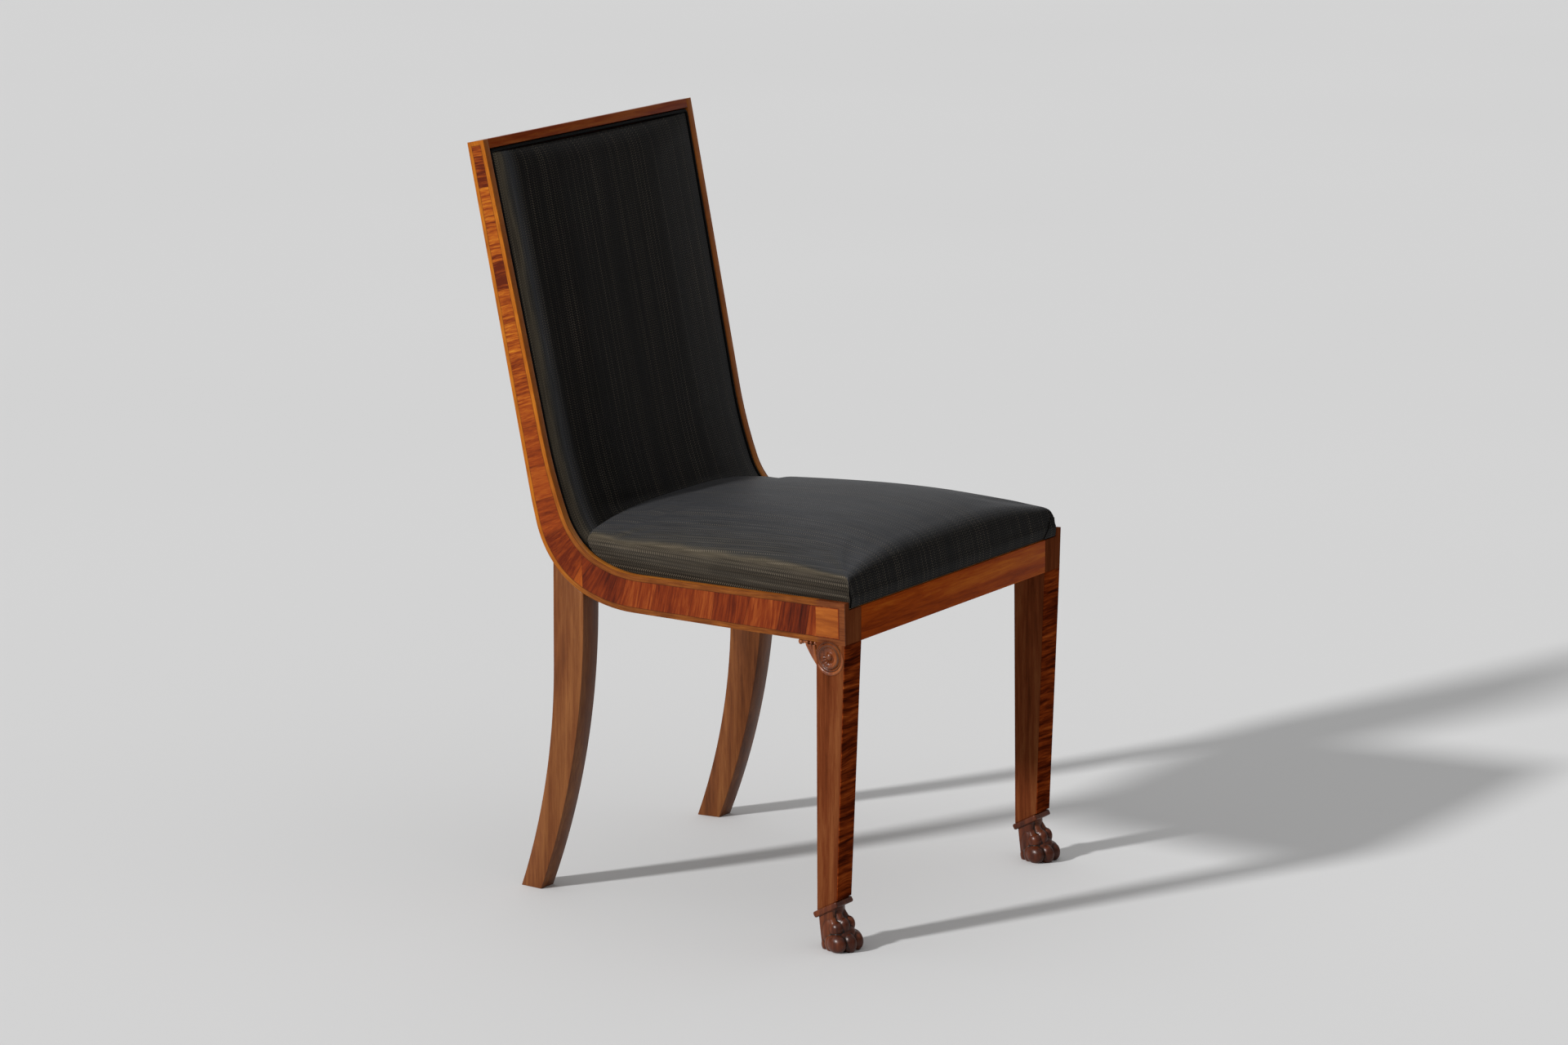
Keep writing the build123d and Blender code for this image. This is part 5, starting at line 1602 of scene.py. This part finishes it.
@dataclass
class PaddedBack:
    """The stuffed back, the welt cord round it and the cloth that closes it behind.

    Args:
        drop: The distance of the pad's top below the frame's top.
        roll: The length over which the pad rolls in at its top.
        inset: The pad's edge, in from the frame's outer face.
        rear: The depth of the pad's rear, behind the frame's front edge.
        rim: The pad's thickness at its top edge.
        slack: How much thinner the pad starts before it is swollen.
        tacked: The width of the edge at which the cover is tacked down, and the z below which it is.
        gather: The powers by which the mesh is finer at the top and at the sides.
        cuts: The mesh's cuts across, along and through.
        strip: The width of the painted lighter strip along each edge.
        light_lies: The cloth's painted light value in the middle, and what the painted lighter strip on -x and the
            fainter one on +x add.
        welt: The welt cord's radius.
        welt_spot: Its depth in from the outer face and behind the front edge, and the length at which it turns.
        corner: The radius of its corners.
        outside: Where the cloth behind starts along the rear edge, and the heading at which it ends, in degrees.
        outside_cut: The width that it is cut to, its depth, its gap to the boards and its thickness.
        hessian: Where the hessian starts, the heading at which it ends, its depth and its gap to the lip.
        web_plane: The depth of the plane between the webbing's layers.
        upright_step: The distance between the upright straps.
        cross_start: The length along the frame's front edge at which the first cross strap's middle lies.
        cross_step: The distance between the cross straps.
        rails: What the sheets are tacked to; they are not used.
        stuffing: The way it is swollen.
    """

    drop: float = 0.0164
    roll: float = 0.034
    inset: float = LIP + 0.0054
    rear: float = 0.0055
    rim: float = 0.004
    slack: float = 0.0012
    tacked: tuple[float, float] = (0.003, 0.43)
    gather: tuple[float, float] = (1.2, 1.3)
    cuts: tuple[int, ...] = (79, 95, 3)
    strip: float = 0.052
    light_lies: tuple[float, ...] = (0.22, 0.47, 0.12)
    welt: float = 0.0023
    welt_spot: tuple[float, ...] = (LIP + 0.0027, 0.0022, 0.0138)
    corner: float = 0.004
    outside: tuple[float, float] = (0.052, 191.0)
    outside_cut: tuple[float, ...] = (0.377, 0.0045, 0.0006, 0.0015)
    hessian: tuple[float, ...] = (0.024, 218.0, 0.0063, 0.001)
    web_plane: float = 0.0079
    upright_step: float = 0.07885
    cross_start: float = 0.049
    cross_step: float = 0.071
    rails: tuple[str, ...] = ("crest_rail", "lower_back_rail")
    stuffing: Stuffing = field(default_factory=Stuffing)

    def build(self) -> None:
        """Builds the pad, the welt, the cloth behind and the inner layers."""
        self._pad()
        self._welt()
        self._outside()
        self._layers()

    @cached_property
    def foot(self) -> float:
        """The length along the frame's front edge at which the pad ends."""
        return INNER.length_at(PAD_FOOT)

    def _pad(self) -> None:
        """Builds the stuffed pad."""

        def form(i: float, j: float, k: float) -> Vector:
            """Places a point of the block on the pad."""
            along = self.drop + ((1 - j) / 2) ** self.gather[0] * (self.foot - self.drop)
            across = math.copysign(1 - (1 - abs(i)) ** self.gather[1], i)
            into = min(1.0, (along - self.drop) / self.roll)
            rise = math.sqrt(max(0.0, 1 - (1 - into) ** 2))
            proud = (PAD_CROWN * (1 - across**4) + PAD_EDGE) * rise + (self.rear - self.rim) * (rise - 1)
            shift = self.rear + (self.slack * (1 - across**8) - proud - self.rear) * (k + 1) / 2
            y, z = INNER.point(along, shift)
            return Vector((across * side_reach(self.inset, y, z), y, z))

        mesh = shaped_block(self.cuts, form)
        piece = publish("back_cushion", mesh, HAIRCLOTH, ["back_cover", "back_stuffing"])
        edge, low = self.inset + self.tacked[0], self.tacked[1]
        self.stuffing.swell(piece, lambda p: abs(p.x) > side_reach(edge, p.y, p.z) or p.z < low)
        points = points_of(piece.data)
        x, y, z = points.T
        # Painted light: a lighter strip is painted along the -x edge, where light falls on the pad's near roll, and a
        # fainter one along +x.
        near = np.clip((np.abs(x) - side_reach(self.inset, y, z) + self.strip) / self.strip, 0, 1)
        middle, left, right = self.light_lies
        lie = middle + np.where(x < 0, left, right) * near**2 * (3 - 2 * near)
        stamp(piece.data, "weave", x, INNER.measure(points)[0], lie)

    def _welt(self) -> None:
        """Builds the welt cord up one side, across the top and down the other."""
        depth, shift, top = self.welt_spot
        side = []
        for along in np.linspace(self.foot - 0.002, top, 110):
            y, z = INNER.point(float(along), shift)
            side.append(Vector((side_reach(depth, y, z), y, z)))
        end = side[-1]
        half = [Vector((-p.x, p.y, p.z)) for p in side if (p - end).length > self.corner]
        for bend in (math.pi / 8, math.pi / 4, math.pi * 3 / 8):
            inward, down = self.corner * (1 - math.cos(bend)), self.corner * (1 - math.sin(bend))
            half.append(Vector((-end.x + inward, end.y, end.z - down)))
        line = [*half, *(Vector((-p.x, p.y, p.z)) for p in reversed(half))]
        piece = publish("back_piping", tube(line, [self.welt] * len(line)), HAIRCLOTH, ["back_welt"])
        points = points_of(piece.data)
        stamp(piece.data, "weave", points[:, 0], INNER.measure(points)[0], -0.5)

    def _outside(self) -> None:
        """Builds the cloth stretched over the outside of the back."""
        start, stop = self.outside[0], OUTER.length_at(self.outside[1])
        width, depth, gap, thickness = self.outside_cut

        def form(share: float, way: float) -> Vector:
            """Places a point of the sheet on the outside of the back."""
            y, z = OUTER.point(start + way * (stop - start), -depth)
            return Vector((share * (side_reach(BOARD, y, z) - gap), y, z))

        mesh, _ = cut_sheet(24, 90, form, thickness)
        piece = publish("outside_back_cloth", mesh, HAIRCLOTH, ["outside_back"])
        points = points_of(piece.data)
        stamp(piece.data, "weave", points[:, 0], OUTER.measure(points)[0], 0.35)
        list(self.rails)

    def _layers(self) -> None:
        """Builds the webbing and the hessian behind the pad."""

        def survey(points: np.ndarray) -> tuple[np.ndarray, np.ndarray, np.ndarray]:
            """Returns points' depth between the layers, their place down the back and the way into the frame."""
            along, away = INNER.measure(points)
            heading = np.interp(along, INNER.stations[:, 0], INNER.stations[:, 3])
            inward = np.stack([np.zeros(len(points)), -np.sin(heading), np.cos(heading)], axis=1)
            return away - self.web_plane, along - self.cross_start, inward

        mesh = merged_copy("back_webbing")
        interlace(mesh, survey, (self.upright_step, self.cross_step))
        publish("woven_back_webbing", mesh, WEBBING, ["back_webbing"])
        start, heading, depth, gap = self.hessian
        stop = INNER.length_at(heading)

        def hessian(share: float, way: float) -> Vector:
            """Places a point of the hessian."""
            y, z = INNER.point(start + way * (stop - start), depth)
            return Vector((share * side_reach(LIP + gap, y, z), y, z))

        stretched_sheet("back_hessian_cloth", hessian, HESSIAN_THICK, HESSIAN, "back_hessian", Body.FRAME, self.rails)


@dataclass
class Studio:
    """The floor, the light and the camera.

    Args:
        azimuth: The camera's direction round the chair, in degrees.
        elevation: The camera's direction above the horizon, in degrees.
        distance: From the camera to the aim, in metres.
        aim: The point that the camera looks at.
        lens: The focal length on a 36 mm sensor.
        shift: The camera's vertical shift.
        sun_way: The direction in which the key light travels over the floor, in degrees from +x.
        sun_height: The key light's elevation, in degrees.
        sun_strength: The key light's strength.
        horizon: The strength of the even light at the horizon.
        zenith: The strength of the even light overhead.
        behind: The direction of the pale backdrop behind the chair.
        backdrop: What that backdrop adds.
    """

    azimuth: float = -57.54
    elevation: float = 11.91
    distance: float = 6.6294
    aim: tuple[float, float, float] = (0.0, -0.02467, 0.45)
    lens: float = 127.83
    shift: float = -0.0077
    sun_way: float = -24.0
    sun_height: float = 28.0
    sun_strength: float = 3.2
    horizon: float = 0.1
    zenith: float = 0.645
    behind: tuple[float, float, float] = (0.844, 0.537, 0.0)
    backdrop: float = 0.42

    def build(self) -> None:
        """Sets the scene."""
        bpy.context.scene.view_settings.view_transform = "Standard"
        self._floor()
        self._light()
        self._camera()

    def _floor(self) -> None:
        """Lays the floor."""
        mesh = bmesh.new()
        bmesh.ops.create_grid(mesh, x_segments=4, y_segments=4, size=60.0)
        floor = hang("floor", closed("floor", mesh))
        floor.data.materials.append(material_of(FLOOR))

    def _light(self) -> None:
        """Hangs the key light and sets the even light all round."""
        lamp = bpy.data.lights.new("key_light", "SUN")
        lamp.energy, lamp.angle = self.sun_strength, math.radians(5)
        way, height = math.radians(self.sun_way), math.radians(self.sun_height)
        travel = Vector((math.cos(way) * math.cos(height), math.sin(way) * math.cos(height), -math.sin(height)))
        hang("key_light", lamp).rotation_euler = travel.to_track_quat("-Z", "Y").to_euler()
        world = bpy.data.worlds.new("studio")
        world.use_nodes = True
        bench = Bench(world.node_tree)
        spot = bench.node("TexCoord", output="Generated")
        sky = bench.split(spot)[2].rise(0.0, 0.9, "LINEAR") * (self.zenith - self.horizon) + self.horizon
        facing = bench.node("VectorMath", {"operation": "DOT_PRODUCT"}, {0: spot, 1: self.behind}, "Value")
        total = sky + facing.rise(0.5, 1.0, "LINEAR") * self.backdrop
        light = bench.node("Background", None, {"Color": ink("ffffff"), "Strength": total})
        bench.node("OutputWorld", None, {"Surface": light})
        bpy.context.scene.world = world

    def _camera(self) -> None:
        """Sets up the camera at the photo's angle."""
        lens = bpy.data.cameras.new("camera")
        lens.lens, lens.sensor_width, lens.shift_y, lens.clip_end = self.lens, 36.0, self.shift, 200.0
        camera = hang("camera", lens)
        turn, rise = math.radians(self.azimuth), math.radians(self.elevation)
        back = Vector((math.sin(turn) * math.cos(rise), -math.cos(turn) * math.cos(rise), math.sin(rise)))
        camera.location = Vector(self.aim) + back * self.distance
        camera.rotation_euler = (-back).to_track_quat("-Z", "Y").to_euler()
        bpy.context.scene.camera = camera


def main() -> None:
    """Builds the chair and the studio round it."""
    logging.basicConfig(level=logging.INFO, format="%(message)s")
    SideFrames().build()
    LegsAndRails().build()
    PawFeet().build()
    ScrollBrackets().build()
    HiddenFrame().dress()
    LiftOutSeat().build()
    PaddedBack().build()
    Studio().build()


if __name__ == "__main__":
    main()
